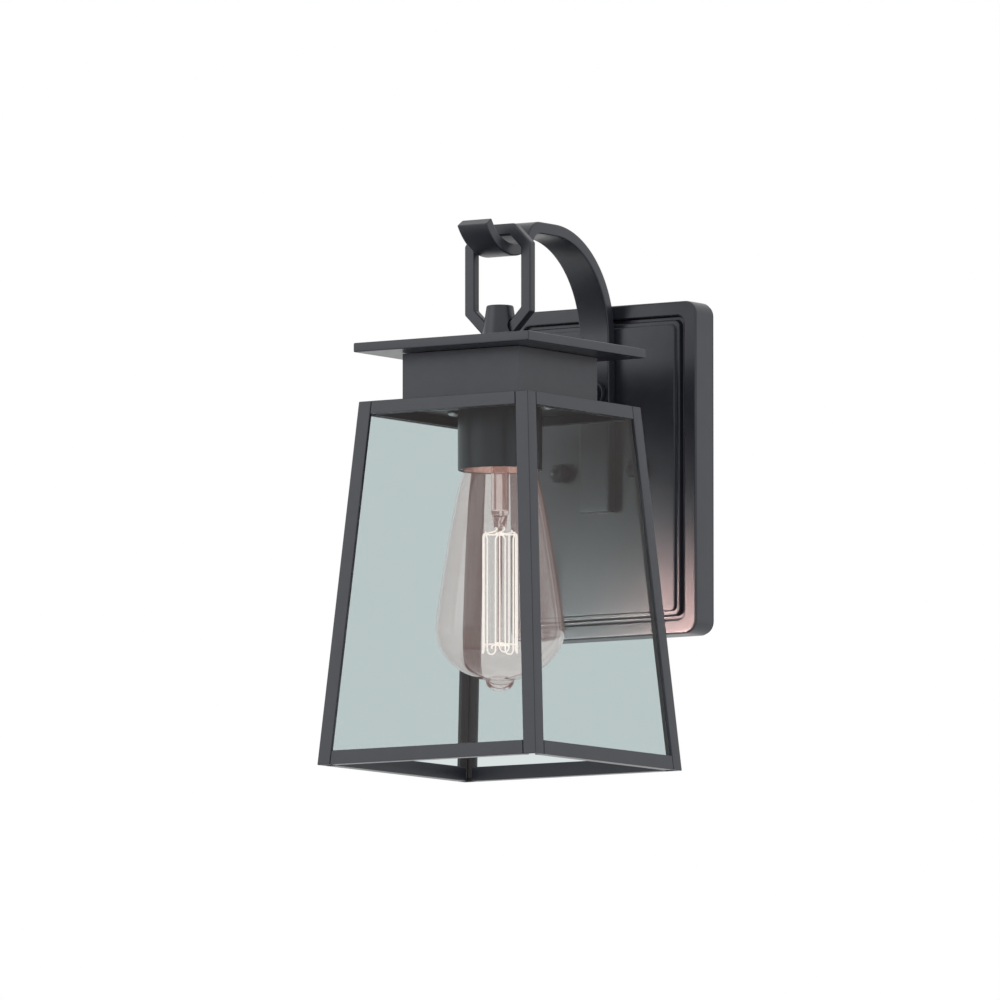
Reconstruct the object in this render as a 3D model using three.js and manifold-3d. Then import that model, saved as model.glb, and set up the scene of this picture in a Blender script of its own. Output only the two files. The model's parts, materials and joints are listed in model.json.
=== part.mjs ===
// Outdoor wall lantern: a tapered four-sided glass cage under a flat square roof, carried by a tube
// from a rectangular wall plate, with a hooked flat-bar arm above it and a loose octagonal link
// between the hook and the roof. Millimetres, +Z up. The origin is the centre of the wall plate's
// back, on the wall. The wall is the plane Y = 0 and the lantern stands out of it towards -Y.
import * as THREE from 'three';
import { mergeVertices } from 'three/addons/utils/BufferGeometryUtils.js';
import Module from 'manifold-3d';

const wasm = await Module();
wasm.setup();

// ---------------------------------------------------------------- driving dimensions

const GAP = 0.3;                 // between pieces that rest against each other
const HOLE_PLAY = 0.3;           // radial, between a fastener and the hole it passes through
const AXIS_FROM_WALL = 110;      // lantern axis in front of the wall
const TUBE_HEIGHT = 38.7;        // wire tube above the plate's centre

const PLATE_WIDTH = 112;
const PLATE_HEIGHT = 168;
const PLATE_CORNER = 7;
const PLATE_SHEET = 1.8;
const PLATE_FRONT = 17.2;        // wall to the rim's front face
const RIM_WIDTH = 7.2;
const GROOVE_WIDTH = 4.5;
const GROOVE_DEPTH = 1.7;
const PANEL_RISE = 2;            // raised panel in front of the rim
const PANEL_CORNER = 2.5;
const GASKET_THICKNESS = 1.5;
const GASKET_WIDTH = 6;
const GASKET_INSET = 0.6;

const BRACKET_LENGTH = 96;
const BRACKET_HEIGHT = 20;
const BRACKET_THICKNESS = 1.8;
const BRACKET_SLOT_LENGTH = 12;
const BRACKET_SLOT_WIDTH = 5;
const BRACKET_SLOT_AT = 39;      // slot centre from the middle
const STUD_SPACING = 46;
const STUD_RADIUS = 2;
const STUD_NUT_RIM = 1.5;        // from the thread to the flats
const STUD_NUT_THICKNESS = 3.2;
const CAP_NUT_RIM = 2.5;
const CAP_NUT_DOME_STEP = 0.4;   // dome's foot inside the hexagon's flats
const CAP_NUT_HEX_LENGTH = 4.6;
const CAP_NUT_DOME = 3.4;
const CAP_NUT_WALL = 1.6;        // closed end, on the axis
const CAP_WASHER_RIM = 2;
const CAP_WASHER_THICKNESS = 0.8;
const GROUND_SCREW_AT = 12;
const GROUND_SCREW_RADIUS = 1.8;
const GROUND_HEAD_RIM = 1.7;
const GROUND_HEAD_THICKNESS = 2.4;

const STRIP_WIDTH = 17.8;        // flat bar of the arm
const STRIP_THICKNESS = 6;
const LEG_BELOW_CENTRE = 20.9;
const ARM_FLAT = 13.6;           // straight top run between the crest and the quarter arc
const CREST_RADIUS = 9;          // centre line, where the bar turns down into the hook
const VALLEY_BACK_RADIUS = 20;   // centre line, hook's rear half
const VALLEY_FRONT_RADIUS = 25.5; // centre line, hook's front half
const VALLEY_AHEAD = 1;          // hook's lowest point in front of the lantern axis
const HOOK_TIP_ANGLE = 59;       // degrees that the front half turns up
const HOOK_DROP = 13.3;          // hook's lowest point below the arm's top
const ARM_SCREW_RADIUS = 2;
const ARM_SCREW_HEAD_RADIUS = 3.6;
const ARM_SCREW_HEAD_THICKNESS = 2.4;
const DRIVE_SLOT_LENGTH = 4;
const DRIVE_SLOT_WIDTH = 0.8;
const DRIVE_SLOT_DEPTH = 1;
const ARM_SCREW_BITE = 4.5;      // thread length in the leg
const ARM_SCREW_FROM_END = 11;
const ARM_SCREW_BELOW_TUBE = 15;

const TUBE_RADIUS = 5;
const TUBE_WALL = 1.3;
const TUBE_SHOULDER_STEP = 2;    // radial
const TUBE_SHOULDER_LENGTH = 3;
const TUBE_PAST_NECK_WALL = 6.5;
const TUBE_PAST_PANEL = 5;
const LOCKNUT_RIM = 2;
const LOCKNUT_THICKNESS = 3.6;
const COLLAR_RIM = 2;
const COLLAR_LENGTH = 3;

const NECK_WIDTH = 70;
const NECK_HEIGHT = 24.7;
const NECK_SHEET = 1.5;
const NECK_TAB_CLEARANCE = 0.5;  // between its end and the lampholder's flange
const NECK_TAB_WIDTH = 12;
const NECK_TAB_THICKNESS = 2;
const NECK_SCREW_RADIUS = 1.5;
const NECK_SCREW_HEAD_RADIUS = 3;
const NECK_SCREW_HEAD_THICKNESS = 2;
const NECK_SCREW_PAST_TAB = 2;
const ROOF_WIDTH = 105.4;
const ROOF_THICKNESS = 4.7;

const STEM_HEIGHT = 20.2;
const STEM_BASE_RADIUS = 9.7;
const STEM_TOP_RADIUS = 6.7;
const STEM_STUD_RADIUS = 3;
const STEM_NUT_RIM = 2;
const STEM_NUT_THICKNESS = 4;
const STEM_STUD_PAST_NUT = 1;
const LINK_WIDTH = 39.6;
const LINK_HEIGHT = 54.8;
const LINK_BAR = 5.8;            // seen from the front
const LINK_THICKNESS = 4.9;      // seen from the side
const LINK_CHAMFER = 10;
const LINK_ABOVE_ROOF = 9.1;     // lower bar's centre above the roof
const LINK_EYE_PLAY = 0.3;       // radial, round the lower bar's corners
const LINK_OVER_HOOK = 4.4;      // upper bar above the hook's valley

const CAGE_HEIGHT = 182;
const CAGE_BOTTOM_WIDTH = 131;
const CAGE_TOP_WIDTH = 101.4;
const POST_WIDTH = 7.5;
const FRAME_SHEET = 2;
const RAIL_LIP = 1.2;
const RAIL_WEB = 1.5;
const TOP_RAIL_HEIGHT = 6.5;
const BOTTOM_RAIL_HEIGHT = 7;
const GLASS_THICKNESS = 2;
const COVER_THICKNESS = 2;

const CUP_WALL = 1.2;
const CUP_SPACE = 3.5;           // between the lampholder and the cup's wall
const CUP_LENGTH = 30.8;
const CUP_FLANGE = 2;
const CUP_HOLE_PLAY = 0.4;       // round the lampholder
const RING_BAND = 2.3;           // copper ring inside the cup's mouth, at its top
const RING_LIP = 0.8;            // the same ring at its foot, where it opens downwards
const RING_LENGTH = 3.2;
const RING_ABOVE_MOUTH = 0.5;
const HOLDER_WALL = 2.1;
const HOLDER_CAVITY_PLAY = 0.4;  // round the screw shell
const HOLDER_FLANGE_MARGIN = 0.6; // outside the screw heads
const HOLDER_FLANGE_THICKNESS = 3;
const HOLDER_TAPER = 3.4;        // top's radius below the body's
const HOLDER_ROOF = 4;           // above the cavity
const HOLDER_FLANGE_TO_MOUTH = 24.8;
const HOLDER_SCREW_RADIUS = 1.3;
const HOLDER_SCREW_HEAD_RADIUS = 2.5;
const HOLDER_SCREW_HEAD_THICKNESS = 1.6;
const SHELL_THICKNESS = 0.5;
const SHELL_LENGTH = 19.5;
const SHELL_UP_FROM_MOUTH = 1;
const CONTACT_STRIP_RADIUS = 5;
const CONTACT_STRIP_THICKNESS = 1;

const LAMP_BASE_RADIUS = 13;     // E26 screw base
const LAMP_BASE_LENGTH = 22;
const LAMP_BASE_SHEET = 0.5;
const LAMP_THREAD_PLAY = 0.4;    // radial, in the screw shell
const LAMP_RIM_BELOW_HOLDER = 2.2;
const LAMP_INSULATOR_LENGTH = 3;
const LAMP_INSULATOR_RADIUS = 6; // at its top
const LAMP_INSULATOR_INSET = 0.6; // at its foot, inside the base
const LAMP_CONTACT_RADIUS = 4.6;
const LAMP_CONTACT_LENGTH = 1.7;
const GLASS_WALL = 0.9;
const GLASS_NECK_PLAY = 0.4;     // radial, inside the base
const GLASS_NECK_LENGTH = 12;    // inside the base
const BULB_SHOULDER_RADIUS = 19.7;
const BULB_SHOULDER_DROP = 10.6; // below the base's rim
const BULB_FLARE = 4.6;          // shoulder's radius less the radius halfway up the flare
const BULB_FLARE_DROP = 3.392;
const BULB_MIDDLE_RADIUS = 25.026;
const BULB_MIDDLE_DROP = 36.12;
const BULB_LOW_RADIUS = 30.8;
const BULB_LOW_DROP = 72.24;
const BULB_RADIUS = 32.4;
const BULB_WIDEST_DROP = 86;
const BULB_BOTTOM_ROUND = 26;    // height of the rounded bottom
const BULB_TIP_RADIUS = 7.2;
const BULB_TIP_LENGTH = 6;
const GLASS_STEM_RADIUS = 4.5;
const GLASS_STEM_FLARE = 8;
const GLASS_STEM_DROP = 29;      // tube's end below the base's rim
const GLASS_PINCH_LENGTH = 6;
const CENTRE_ROD_RADIUS = 1.1;
const CENTRE_ROD_DROP = 97;
const FILAMENT_RADIUS = 0.4;
const FILAMENT_STRANDS = 10;
const FILAMENT_CAGE_RADIUS = 10.2;
const FILAMENT_TOP_DROP = 38;
const FILAMENT_BOTTOM_DROP = 98;
const SPIDER_WIRE_RADIUS = 0.4;
const SPIDER_HUB_PLAY = 0.2;
const SPIDER_HUB_WALL = 1;
const SPIDER_HUB_LENGTH = 1.8;
const SPIDER_BELOW_TOP = 2.5;    // under the filament's upper turns
const LEAD_IN_AT = 2.4;
const PINCH_MARGIN = 1.4;        // glass beside the lead-ins
const PINCH_HALF_THICKNESS = 1.2;

const LEAD_RADIUS = 1;           // insulated supply leads
const LEAD_SPACING = 3.4;
const LEAD_TERMINAL_AT = 6;
const LEAD_DROP = 84;            // hanging length behind the plate
const LEAD_BEHIND_PANEL = 11.5;  // hanging part's distance behind the panel's front

const ROUND_SEGMENTS = 24;
const CUP_SEGMENTS = 32;
const SMALL_SEGMENTS = 14;
const BULB_SEGMENTS = 26;
const CORNER_SEGMENTS = 4;
const ARM_SEGMENTS = 9;          // in each arc of the arm

// ---------------------------------------------------------------- derived places

const quarter = Math.PI / 2;
const studNutFlats = 2 * (STUD_RADIUS + STUD_NUT_RIM);
const capNutFlats = 2 * (STUD_RADIUS + CAP_NUT_RIM);
const capWasherRadius = STUD_RADIUS + CAP_WASHER_RIM;
const groundHeadFlats = 2 * (GROUND_SCREW_RADIUS + GROUND_HEAD_RIM);
const tubeBoreRadius = TUBE_RADIUS - TUBE_WALL;
const tubeShoulderRadius = TUBE_RADIUS + TUBE_SHOULDER_STEP;
const locknutFlats = 2 * (TUBE_RADIUS + LOCKNUT_RIM);
const collarRadius = TUBE_RADIUS + COLLAR_RIM;
const stemNutFlats = 2 * (STEM_STUD_RADIUS + STEM_NUT_RIM);
const axisY = -AXIS_FROM_WALL;
const panelFront = PLATE_FRONT + PANEL_RISE;
const panelBack = panelFront - PLATE_SHEET;
const panelWidth = PLATE_WIDTH - 2 * (RIM_WIDTH + GROOVE_WIDTH);
const panelHeight = PLATE_HEIGHT - 2 * (RIM_WIDTH + GROOVE_WIDTH);
const plateBack = GASKET_THICKNESS + GAP;
const legBack = panelFront + GAP;
const legFront = legBack + STRIP_THICKNESS;

const neckTop = TUBE_HEIGHT + NECK_HEIGHT / 2;
const cageTop = neckTop - NECK_HEIGHT;
const cageBottom = cageTop - CAGE_HEIGHT;
const roofTop = neckTop + ROOF_THICKNESS;
const linkPivotHeight = roofTop + LINK_ABOVE_ROOF;
const linkBottom = linkPivotHeight - LINK_BAR / 2;
const linkTop = linkBottom + LINK_HEIGHT;
const valleyTop = linkTop - LINK_BAR - LINK_OVER_HOOK;
const armTop = valleyTop + HOOK_DROP;

const coverBottom = cageTop - COVER_THICKNESS;
const cupTop = coverBottom - GAP;
const cupMouth = cupTop - CUP_LENGTH;
const holderFlangeBottom = cageTop + GAP;
const holderMouth = holderFlangeBottom - HOLDER_FLANGE_TO_MOUTH;
const shellInnerRadius = LAMP_BASE_RADIUS + LAMP_THREAD_PLAY;
const holderCavityRadius = shellInnerRadius + SHELL_THICKNESS + HOLDER_CAVITY_PLAY;
const holderRadius = holderCavityRadius + HOLDER_WALL;
const holderScrewAt = holderRadius + HOLDER_SCREW_HEAD_RADIUS;
const holderFlangeRadius = holderScrewAt + HOLDER_SCREW_HEAD_RADIUS + HOLDER_FLANGE_MARGIN;
const cupHole = holderRadius + CUP_HOLE_PLAY;
const cupInnerRadius = holderRadius + CUP_SPACE;
const cupRadius = cupInnerRadius + CUP_WALL;
const glassNeckRadius = LAMP_BASE_RADIUS - LAMP_BASE_SHEET - GLASS_NECK_PLAY;
const lampRim = holderMouth - LAMP_RIM_BELOW_HOLDER;
const lampBaseTop = lampRim + LAMP_BASE_LENGTH;
const lampContactBottom = lampBaseTop + LAMP_INSULATOR_LENGTH;
const lampContactTop = lampContactBottom + LAMP_CONTACT_LENGTH;
const holderCavityTop = lampContactTop + GAP + CONTACT_STRIP_THICKNESS + GAP;
const holderTop = holderCavityTop + HOLDER_ROOF;

// ---------------------------------------------------------------- geometry helpers

function signedVolume(geometry) {
  const place = geometry.attributes.position;
  const index = geometry.index.array;
  const a = new THREE.Vector3();
  const b = new THREE.Vector3();
  const c = new THREE.Vector3();
  let sum = 0;
  for (let i = 0; i < index.length; i += 3) {
    a.fromBufferAttribute(place, index[i]);
    b.fromBufferAttribute(place, index[i + 1]);
    c.fromBufferAttribute(place, index[i + 2]);
    sum += a.dot(b.cross(c));
  }
  return sum;
}

// One closed body with merged vertices, no collapsed triangles, and its faces pointing out.
function closed(geometry) {
  const bare = geometry.clone();
  bare.deleteAttribute('normal');
  bare.deleteAttribute('uv');
  const merged = mergeVertices(bare, 1e-4);
  const old = merged.index.array;
  const kept = [];
  for (let i = 0; i < old.length; i += 3) {
    const [a, b, c] = [old[i], old[i + 1], old[i + 2]];
    if (a !== b && b !== c && c !== a) {
      kept.push(a, b, c);
    }
  }
  merged.setIndex(kept);
  if (signedVolume(merged) < 0) {
    for (let i = 0; i < kept.length; i += 3) {
      [kept[i], kept[i + 1]] = [kept[i + 1], kept[i]];
    }
    merged.setIndex(kept);
  }
  return merged;
}

function toSolid(geometry) {
  const body = closed(geometry);
  return new wasm.Manifold(new wasm.Mesh({
    numProp: 3,
    vertProperties: Float32Array.from(body.attributes.position.array),
    triVerts: Uint32Array.from(body.index.array),
  }));
}

function toGeometry(solid) {
  const mesh = solid.getMesh();
  const geometry = new THREE.BufferGeometry();
  geometry.setAttribute('position', new THREE.BufferAttribute(mesh.vertProperties, 3));
  geometry.setIndex(new THREE.BufferAttribute(mesh.triVerts, 1));
  return geometry;
}

function cut(base, ...tools) {
  let solid = toSolid(base);
  for (const tool of tools) {
    solid = solid.subtract(toSolid(tool));
  }
  return toGeometry(solid);
}

function join(first, ...others) {
  let solid = toSolid(first);
  for (const other of others) {
    solid = solid.add(toSolid(other));
  }
  return toGeometry(solid);
}

function roundedRectangle(width, height, radius) {
  const x = width / 2 - radius;
  const y = height / 2 - radius;
  const shape = new THREE.Shape();
  shape.absarc(x, y, radius, 0, quarter);
  shape.absarc(-x, y, radius, quarter, 2 * quarter);
  shape.absarc(-x, -y, radius, 2 * quarter, 3 * quarter);
  shape.absarc(x, -y, radius, 3 * quarter, 4 * quarter);
  shape.closePath();
  return shape;
}

function polygon(points) {
  return new THREE.Shape(points.map(([x, y]) => new THREE.Vector2(x, y)));
}

// Outline in X and Z, as thick as the span between two distances in front of the wall.
function slab(shape, near, far) {
  const depth = far - near;
  const options = { depth, bevelEnabled: false, curveSegments: CORNER_SEGMENTS };
  return new THREE.ExtrudeGeometry(shape, options).translate(0, 0, near).rotateX(quarter);
}

// Outline in Y and Z, centred on X = 0.
function sideways(shape, width) {
  const options = { depth: width, bevelEnabled: false, curveSegments: ARM_SEGMENTS };
  const geometry = new THREE.ExtrudeGeometry(shape, options).translate(0, 0, -width / 2);
  const swap = new THREE.Matrix4().set(0, 0, 1, 0, 1, 0, 0, 0, 0, 1, 0, 0, 0, 0, 0, 1);
  return geometry.applyMatrix4(swap);
}

function box(x0, x1, y0, y1, z0, z1) {
  const geometry = new THREE.BoxGeometry(x1 - x0, y1 - y0, z1 - z0);
  return geometry.translate((x0 + x1) / 2, (y0 + y1) / 2, (z0 + z1) / 2);
}

// Round bar along Z between two heights.
function upright(radius, low, high, segments = ROUND_SEGMENTS) {
  const geometry = new THREE.CylinderGeometry(radius, radius, high - low, segments);
  return geometry.rotateX(quarter).translate(0, 0, (low + high) / 2);
}

// Round bar square to the wall, between two distances in front of it.
function outward(radius, near, far, x, z, segments = SMALL_SEGMENTS) {
  const geometry = new THREE.CylinderGeometry(radius, radius, far - near, segments);
  return geometry.translate(x, -(near + far) / 2, z);
}

function hexRadius(flats) {
  return flats / 2 / Math.cos(Math.PI / 6);
}

// Solid of revolution about Z from [radius, height] pairs.
function revolve(pairs, segments = ROUND_SEGMENTS) {
  const profile = pairs.map(([radius, height]) => new THREE.Vector2(radius, height));
  return new THREE.LatheGeometry(profile, segments).rotateX(quarter);
}

// A revolved ring's profile closes on itself.
function revolveRing(pairs, segments = ROUND_SEGMENTS) {
  return revolve([...pairs, pairs[0]], segments);
}

// Revolved piece with its axis square to the wall: height becomes distance in front of it.
function revolveOutward(pairs, x, z, segments = SMALL_SEGMENTS) {
  return revolve(pairs, segments).rotateX(quarter).translate(x, 0, z);
}

// Straight-edged block whose rectangle changes from a low to a high level.
function taper(low, high) {
  const corners = [];
  for (const { x0, x1, y0, y1, z } of [low, high]) {
    corners.push(x0, y0, z, x1, y0, z, x1, y1, z, x0, y1, z);
  }
  const geometry = new THREE.BufferGeometry();
  geometry.setAttribute('position', new THREE.Float32BufferAttribute(corners, 3));
  geometry.setIndex([0, 2, 1, 0, 3, 2, 4, 5, 6, 4, 6, 7, 0, 1, 5, 0, 5, 4,
    1, 2, 6, 1, 6, 5, 2, 3, 7, 2, 7, 6, 3, 0, 4, 3, 4, 7]);
  return geometry;
}

function wire(points, radius, steps, sides = 8, tension = 0.5) {
  const curve = new THREE.CatmullRomCurve3(points, false, 'catmullrom', tension);
  const section = [];
  for (let i = 0; i < sides; i += 1) {
    const angle = (i / sides) * 2 * Math.PI;
    section.push([radius * Math.cos(angle), radius * Math.sin(angle)]);
  }
  return new THREE.ExtrudeGeometry(polygon(section), { steps, extrudePath: curve });
}

// ---------------------------------------------------------------- materials

function finish(color, roughness, metalness, opacity = 1) {
  return new THREE.MeshStandardMaterial({ color, roughness, metalness, opacity, transparent: opacity < 1 });
}

const paint = finish(0x3a3c40, 0.5, 0.3);
const zinc = finish(0xb4b6b8, 0.35, 0.9);
const rubber = finish(0x1b1b1c, 0.9, 0);
const glass = finish(0xdcebe8, 0.05, 0, 0.35);
const clearGlass = finish(0xf4f4f2, 0.03, 0, 0.35);
const porcelain = finish(0xe9e6de, 0.3, 0);
const copper = finish(0xc98a70, 0.3, 0.9);
const brass = finish(0xc9a24c, 0.3, 0.9);
const blackGlass = finish(0x17161a, 0.2, 0);
const tungsten = finish(0x8c7f74, 0.4, 0.9);
const groundGreen = finish(0x2f7d43, 0.5, 0.2);
const blackInsulation = finish(0x1d1d1f, 0.6, 0);
const whiteInsulation = finish(0xdedcd6, 0.6, 0);

// ---------------------------------------------------------------- assembly

const lantern = new THREE.Group();
const onAxis = new THREE.Group();
onAxis.position.set(0, axisY, 0);
lantern.add(onAxis);

function add(name, geometry, material, group = lantern) {
  const body = closed(geometry);
  body.computeVertexNormals();
  const mesh = new THREE.Mesh(body, material);
  mesh.name = name;
  group.add(mesh);
  return mesh;
}

const SIDES = [['left', -1], ['right', 1]];
const FACES = ['front', 'right', 'rear', 'left'];

// ---------------------------------------------------------------- wall plate and its fixings

function wallPlate() {
  const outline = roundedRectangle(PLATE_WIDTH, PLATE_HEIGHT, PLATE_CORNER);
  const outer = slab(outline, plateBack, PLATE_FRONT);
  const grooveFloor = PLATE_FRONT - GROOVE_DEPTH;
  const recessWidth = PLATE_WIDTH - 2 * RIM_WIDTH;
  const recessHeight = PLATE_HEIGHT - 2 * RIM_WIDTH;
  const recessCorner = PANEL_CORNER + GROOVE_WIDTH / 2;
  const recess = slab(
    roundedRectangle(recessWidth, recessHeight, recessCorner), grooveFloor, PLATE_FRONT + 1);
  const panelOutline = roundedRectangle(panelWidth, panelHeight, PANEL_CORNER);
  const panel = slab(panelOutline, grooveFloor - PLATE_SHEET / 2, panelFront);
  const inner = 2 * PLATE_SHEET;
  const cavity = slab(
    roundedRectangle(PLATE_WIDTH - inner, PLATE_HEIGHT - inner, PLATE_CORNER - PLATE_SHEET),
    plateBack - 1, grooveFloor - PLATE_SHEET);
  const pocket = slab(
    roundedRectangle(panelWidth - inner, panelHeight - inner, PANEL_CORNER - PLATE_SHEET),
    plateBack, panelBack);
  const shell = cut(join(cut(outer, recess), panel), cavity, pocket);
  const holes = [
    outward(TUBE_RADIUS + HOLE_PLAY, panelBack - 1, panelFront + 1, 0, TUBE_HEIGHT, ROUND_SEGMENTS),
    ...armScrewHeights().map((z) => outward(
      ARM_SCREW_RADIUS + HOLE_PLAY, panelBack - 1, panelFront + 1, 0, z)),
    ...SIDES.map(([, side]) => outward(
      STUD_RADIUS + HOLE_PLAY, panelBack - 1, panelFront + 1, side * STUD_SPACING / 2, 0)),
  ];
  return cut(shell, ...holes);
}

function wallGasket() {
  const width = PLATE_WIDTH - 2 * GASKET_INSET;
  const height = PLATE_HEIGHT - 2 * GASKET_INSET;
  const corner = PLATE_CORNER - GASKET_INSET;
  const ring = roundedRectangle(width, height, corner);
  ring.holes.push(roundedRectangle(width - 2 * GASKET_WIDTH, height - 2 * GASKET_WIDTH, corner / 2));
  return slab(ring, 0, GASKET_THICKNESS);
}

function mountingBracket() {
  const bar = roundedRectangle(BRACKET_LENGTH, BRACKET_HEIGHT, 3);
  const tools = [];
  for (const [, side] of SIDES) {
    const slot = slab(
      roundedRectangle(BRACKET_SLOT_LENGTH, BRACKET_SLOT_WIDTH, BRACKET_SLOT_WIDTH / 2 - 0.01),
      -1, BRACKET_THICKNESS + 1);
    tools.push(slot.translate(side * BRACKET_SLOT_AT, 0, 0));
    tools.push(outward(STUD_RADIUS + HOLE_PLAY, -1, BRACKET_THICKNESS + 1, side * STUD_SPACING / 2, 0));
  }
  tools.push(outward(GROUND_SCREW_RADIUS + HOLE_PLAY, -1, BRACKET_THICKNESS + 1, -GROUND_SCREW_AT, 0));
  return cut(slab(bar, 0, BRACKET_THICKNESS), ...tools);
}

// Plain hexagon nut with its axis square to the wall.
function hexNutOutward(flats, bore, near, far, x, z) {
  const hex = outward(hexRadius(flats), near, far, x, z, 6);
  return cut(hex, outward(bore, near - 1, far + 1, x, z));
}

const washerNear = legBack;
const washerFar = washerNear + CAP_WASHER_THICKNESS;
const capNutNear = washerFar + GAP;
const capNutFar = capNutNear + CAP_NUT_HEX_LENGTH + CAP_NUT_DOME;
const studEnd = capNutFar - CAP_NUT_WALL - 2 * GAP;

// Hexagon at the foot, turned down to a low dome, with a blind threaded hole from behind.
function capNut(x) {
  const hexEnd = capNutNear + CAP_NUT_HEX_LENGTH;
  const dome = [[0, capNutNear + 1]];
  const domeRadius = capNutFlats / 2 - CAP_NUT_DOME_STEP;
  dome.push([domeRadius, capNutNear + 1]);
  for (let i = 0; i <= 6; i += 1) {
    const angle = (i / 6) * quarter;
    dome.push([domeRadius * Math.cos(angle), hexEnd + CAP_NUT_DOME * Math.sin(angle)]);
  }
  dome[dome.length - 1][0] = 0;
  const hex = outward(hexRadius(capNutFlats), capNutNear, hexEnd, x, 0, 6);
  const body = join(hex, revolveOutward(dome, x, 0));
  return cut(body, outward(STUD_RADIUS + HOLE_PLAY, capNutNear - 1, capNutFar - CAP_NUT_WALL, x, 0));
}

function capWasher(x) {
  const disc = outward(capWasherRadius, washerNear, washerFar, x, 0);
  return cut(disc, outward(STUD_RADIUS + HOLE_PLAY, washerNear - 1, washerFar + 1, x, 0));
}

function groundScrew() {
  const headNear = BRACKET_THICKNESS + GAP;
  const headFar = headNear + GROUND_HEAD_THICKNESS;
  const head = outward(hexRadius(groundHeadFlats), headNear, headFar, -GROUND_SCREW_AT, 0, 6);
  return join(head, outward(GROUND_SCREW_RADIUS, GAP, headNear + 1, -GROUND_SCREW_AT, 0));
}

add('wall_plate', wallPlate(), paint);
add('wall_gasket', wallGasket(), rubber);
add('mounting_bracket', mountingBracket(), zinc);
for (const [side, sign] of SIDES) {
  const x = sign * STUD_SPACING / 2;
  const nutNear = BRACKET_THICKNESS + GAP;
  add(`stud_${side}`, outward(STUD_RADIUS, GAP, studEnd, x, 0), zinc);
  add(`stud_nut_${side}`, hexNutOutward(
    studNutFlats, STUD_RADIUS + HOLE_PLAY, nutNear, nutNear + STUD_NUT_THICKNESS, x, 0), zinc);
  add(`cap_washer_${side}`, capWasher(x), rubber);
  add(`cap_nut_${side}`, capNut(x), paint);
}
add('ground_screw', groundScrew(), groundGreen);

// ---------------------------------------------------------------- hooked arm

function armScrewHeights() {
  return [ARM_SCREW_FROM_END - LEG_BELOW_CENTRE, TUBE_HEIGHT - ARM_SCREW_BELOW_TUBE];
}

// Side view in Y and Z: leg on the plate, quarter arc, straight top, crest, and the hook whose two
// halves have their own radii. Each stretch is an arc pair, half a thickness to either side.
function hookArm() {
  const half = STRIP_THICKNESS / 2;
  const valleyY = axisY - VALLEY_AHEAD;
  const valleyLine = valleyTop - half;
  const backCentre = [valleyY, valleyLine + VALLEY_BACK_RADIUS];
  const frontCentre = [valleyY, valleyLine + VALLEY_FRONT_RADIUS];
  const crestCentreZ = armTop - half - CREST_RADIUS;
  const rise = backCentre[1] - crestCentreZ;
  const reach = VALLEY_BACK_RADIUS + CREST_RADIUS;
  const crestY = valleyY + Math.sqrt(reach * reach - rise * rise);
  const slope = Math.acos(rise / reach);
  const arcY = crestY + ARM_FLAT;
  const arcOuter = -legBack - arcY;
  const arcZ = armTop - arcOuter;
  const tip = THREE.MathUtils.degToRad(HOOK_TIP_ANGLE);
  const shape = new THREE.Shape();
  shape.moveTo(-legBack, -LEG_BELOW_CENTRE);
  shape.absarc(arcY, arcZ, arcOuter, 0, quarter, false);
  shape.absarc(crestY, crestCentreZ, CREST_RADIUS + half, quarter, quarter + slope, false);
  shape.absarc(...backCentre, VALLEY_BACK_RADIUS - half, slope - quarter, -quarter, true);
  shape.absarc(...frontCentre, VALLEY_FRONT_RADIUS - half, -quarter, -quarter - tip, true);
  shape.absarc(...frontCentre, VALLEY_FRONT_RADIUS + half, -quarter - tip, -quarter, false);
  shape.absarc(...backCentre, VALLEY_BACK_RADIUS + half, -quarter, slope - quarter, false);
  shape.absarc(crestY, crestCentreZ, CREST_RADIUS - half, quarter + slope, quarter, true);
  shape.absarc(arcY, arcZ, arcOuter - STRIP_THICKNESS, quarter, 0, true);
  shape.lineTo(-legFront, -LEG_BELOW_CENTRE);
  shape.closePath();
  const screwEnd = legBack + ARM_SCREW_BITE + GAP;
  const holes = armScrewHeights().map(
    (z) => outward(ARM_SCREW_RADIUS + HOLE_PLAY, legBack - 1, screwEnd, 0, z));
  holes.push(outward(TUBE_RADIUS + HOLE_PLAY, legBack - 1, legFront + 1, 0, TUBE_HEIGHT, ROUND_SEGMENTS));
  return cut(sideways(shape, STRIP_WIDTH), ...holes);
}

function armScrew(z) {
  const headFar = panelBack - GAP;
  const headNear = headFar - ARM_SCREW_HEAD_THICKNESS;
  const head = outward(ARM_SCREW_HEAD_RADIUS, headNear, headFar, 0, z);
  const shaft = outward(ARM_SCREW_RADIUS, headFar - 1, legBack + ARM_SCREW_BITE, 0, z);
  const slotX = DRIVE_SLOT_LENGTH / 2;
  const slotZ = DRIVE_SLOT_WIDTH / 2;
  const drive = box(-slotX, slotX, -headNear - DRIVE_SLOT_DEPTH, 1 - headNear, z - slotZ, z + slotZ);
  return cut(join(head, shaft), drive);
}

add('hook_arm', hookArm(), paint);
armScrewHeights().forEach((z, i) => add(`arm_screw_${['lower', 'upper'][i]}`, armScrew(z), zinc));

// ---------------------------------------------------------------- wire tube

const neckWallFront = AXIS_FROM_WALL - NECK_WIDTH / 2 + NECK_SHEET;
const neckWallBack = AXIS_FROM_WALL - NECK_WIDTH / 2;
const tubeFar = neckWallFront + TUBE_PAST_NECK_WALL;
const tubeNear = panelBack - TUBE_PAST_PANEL;

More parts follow.
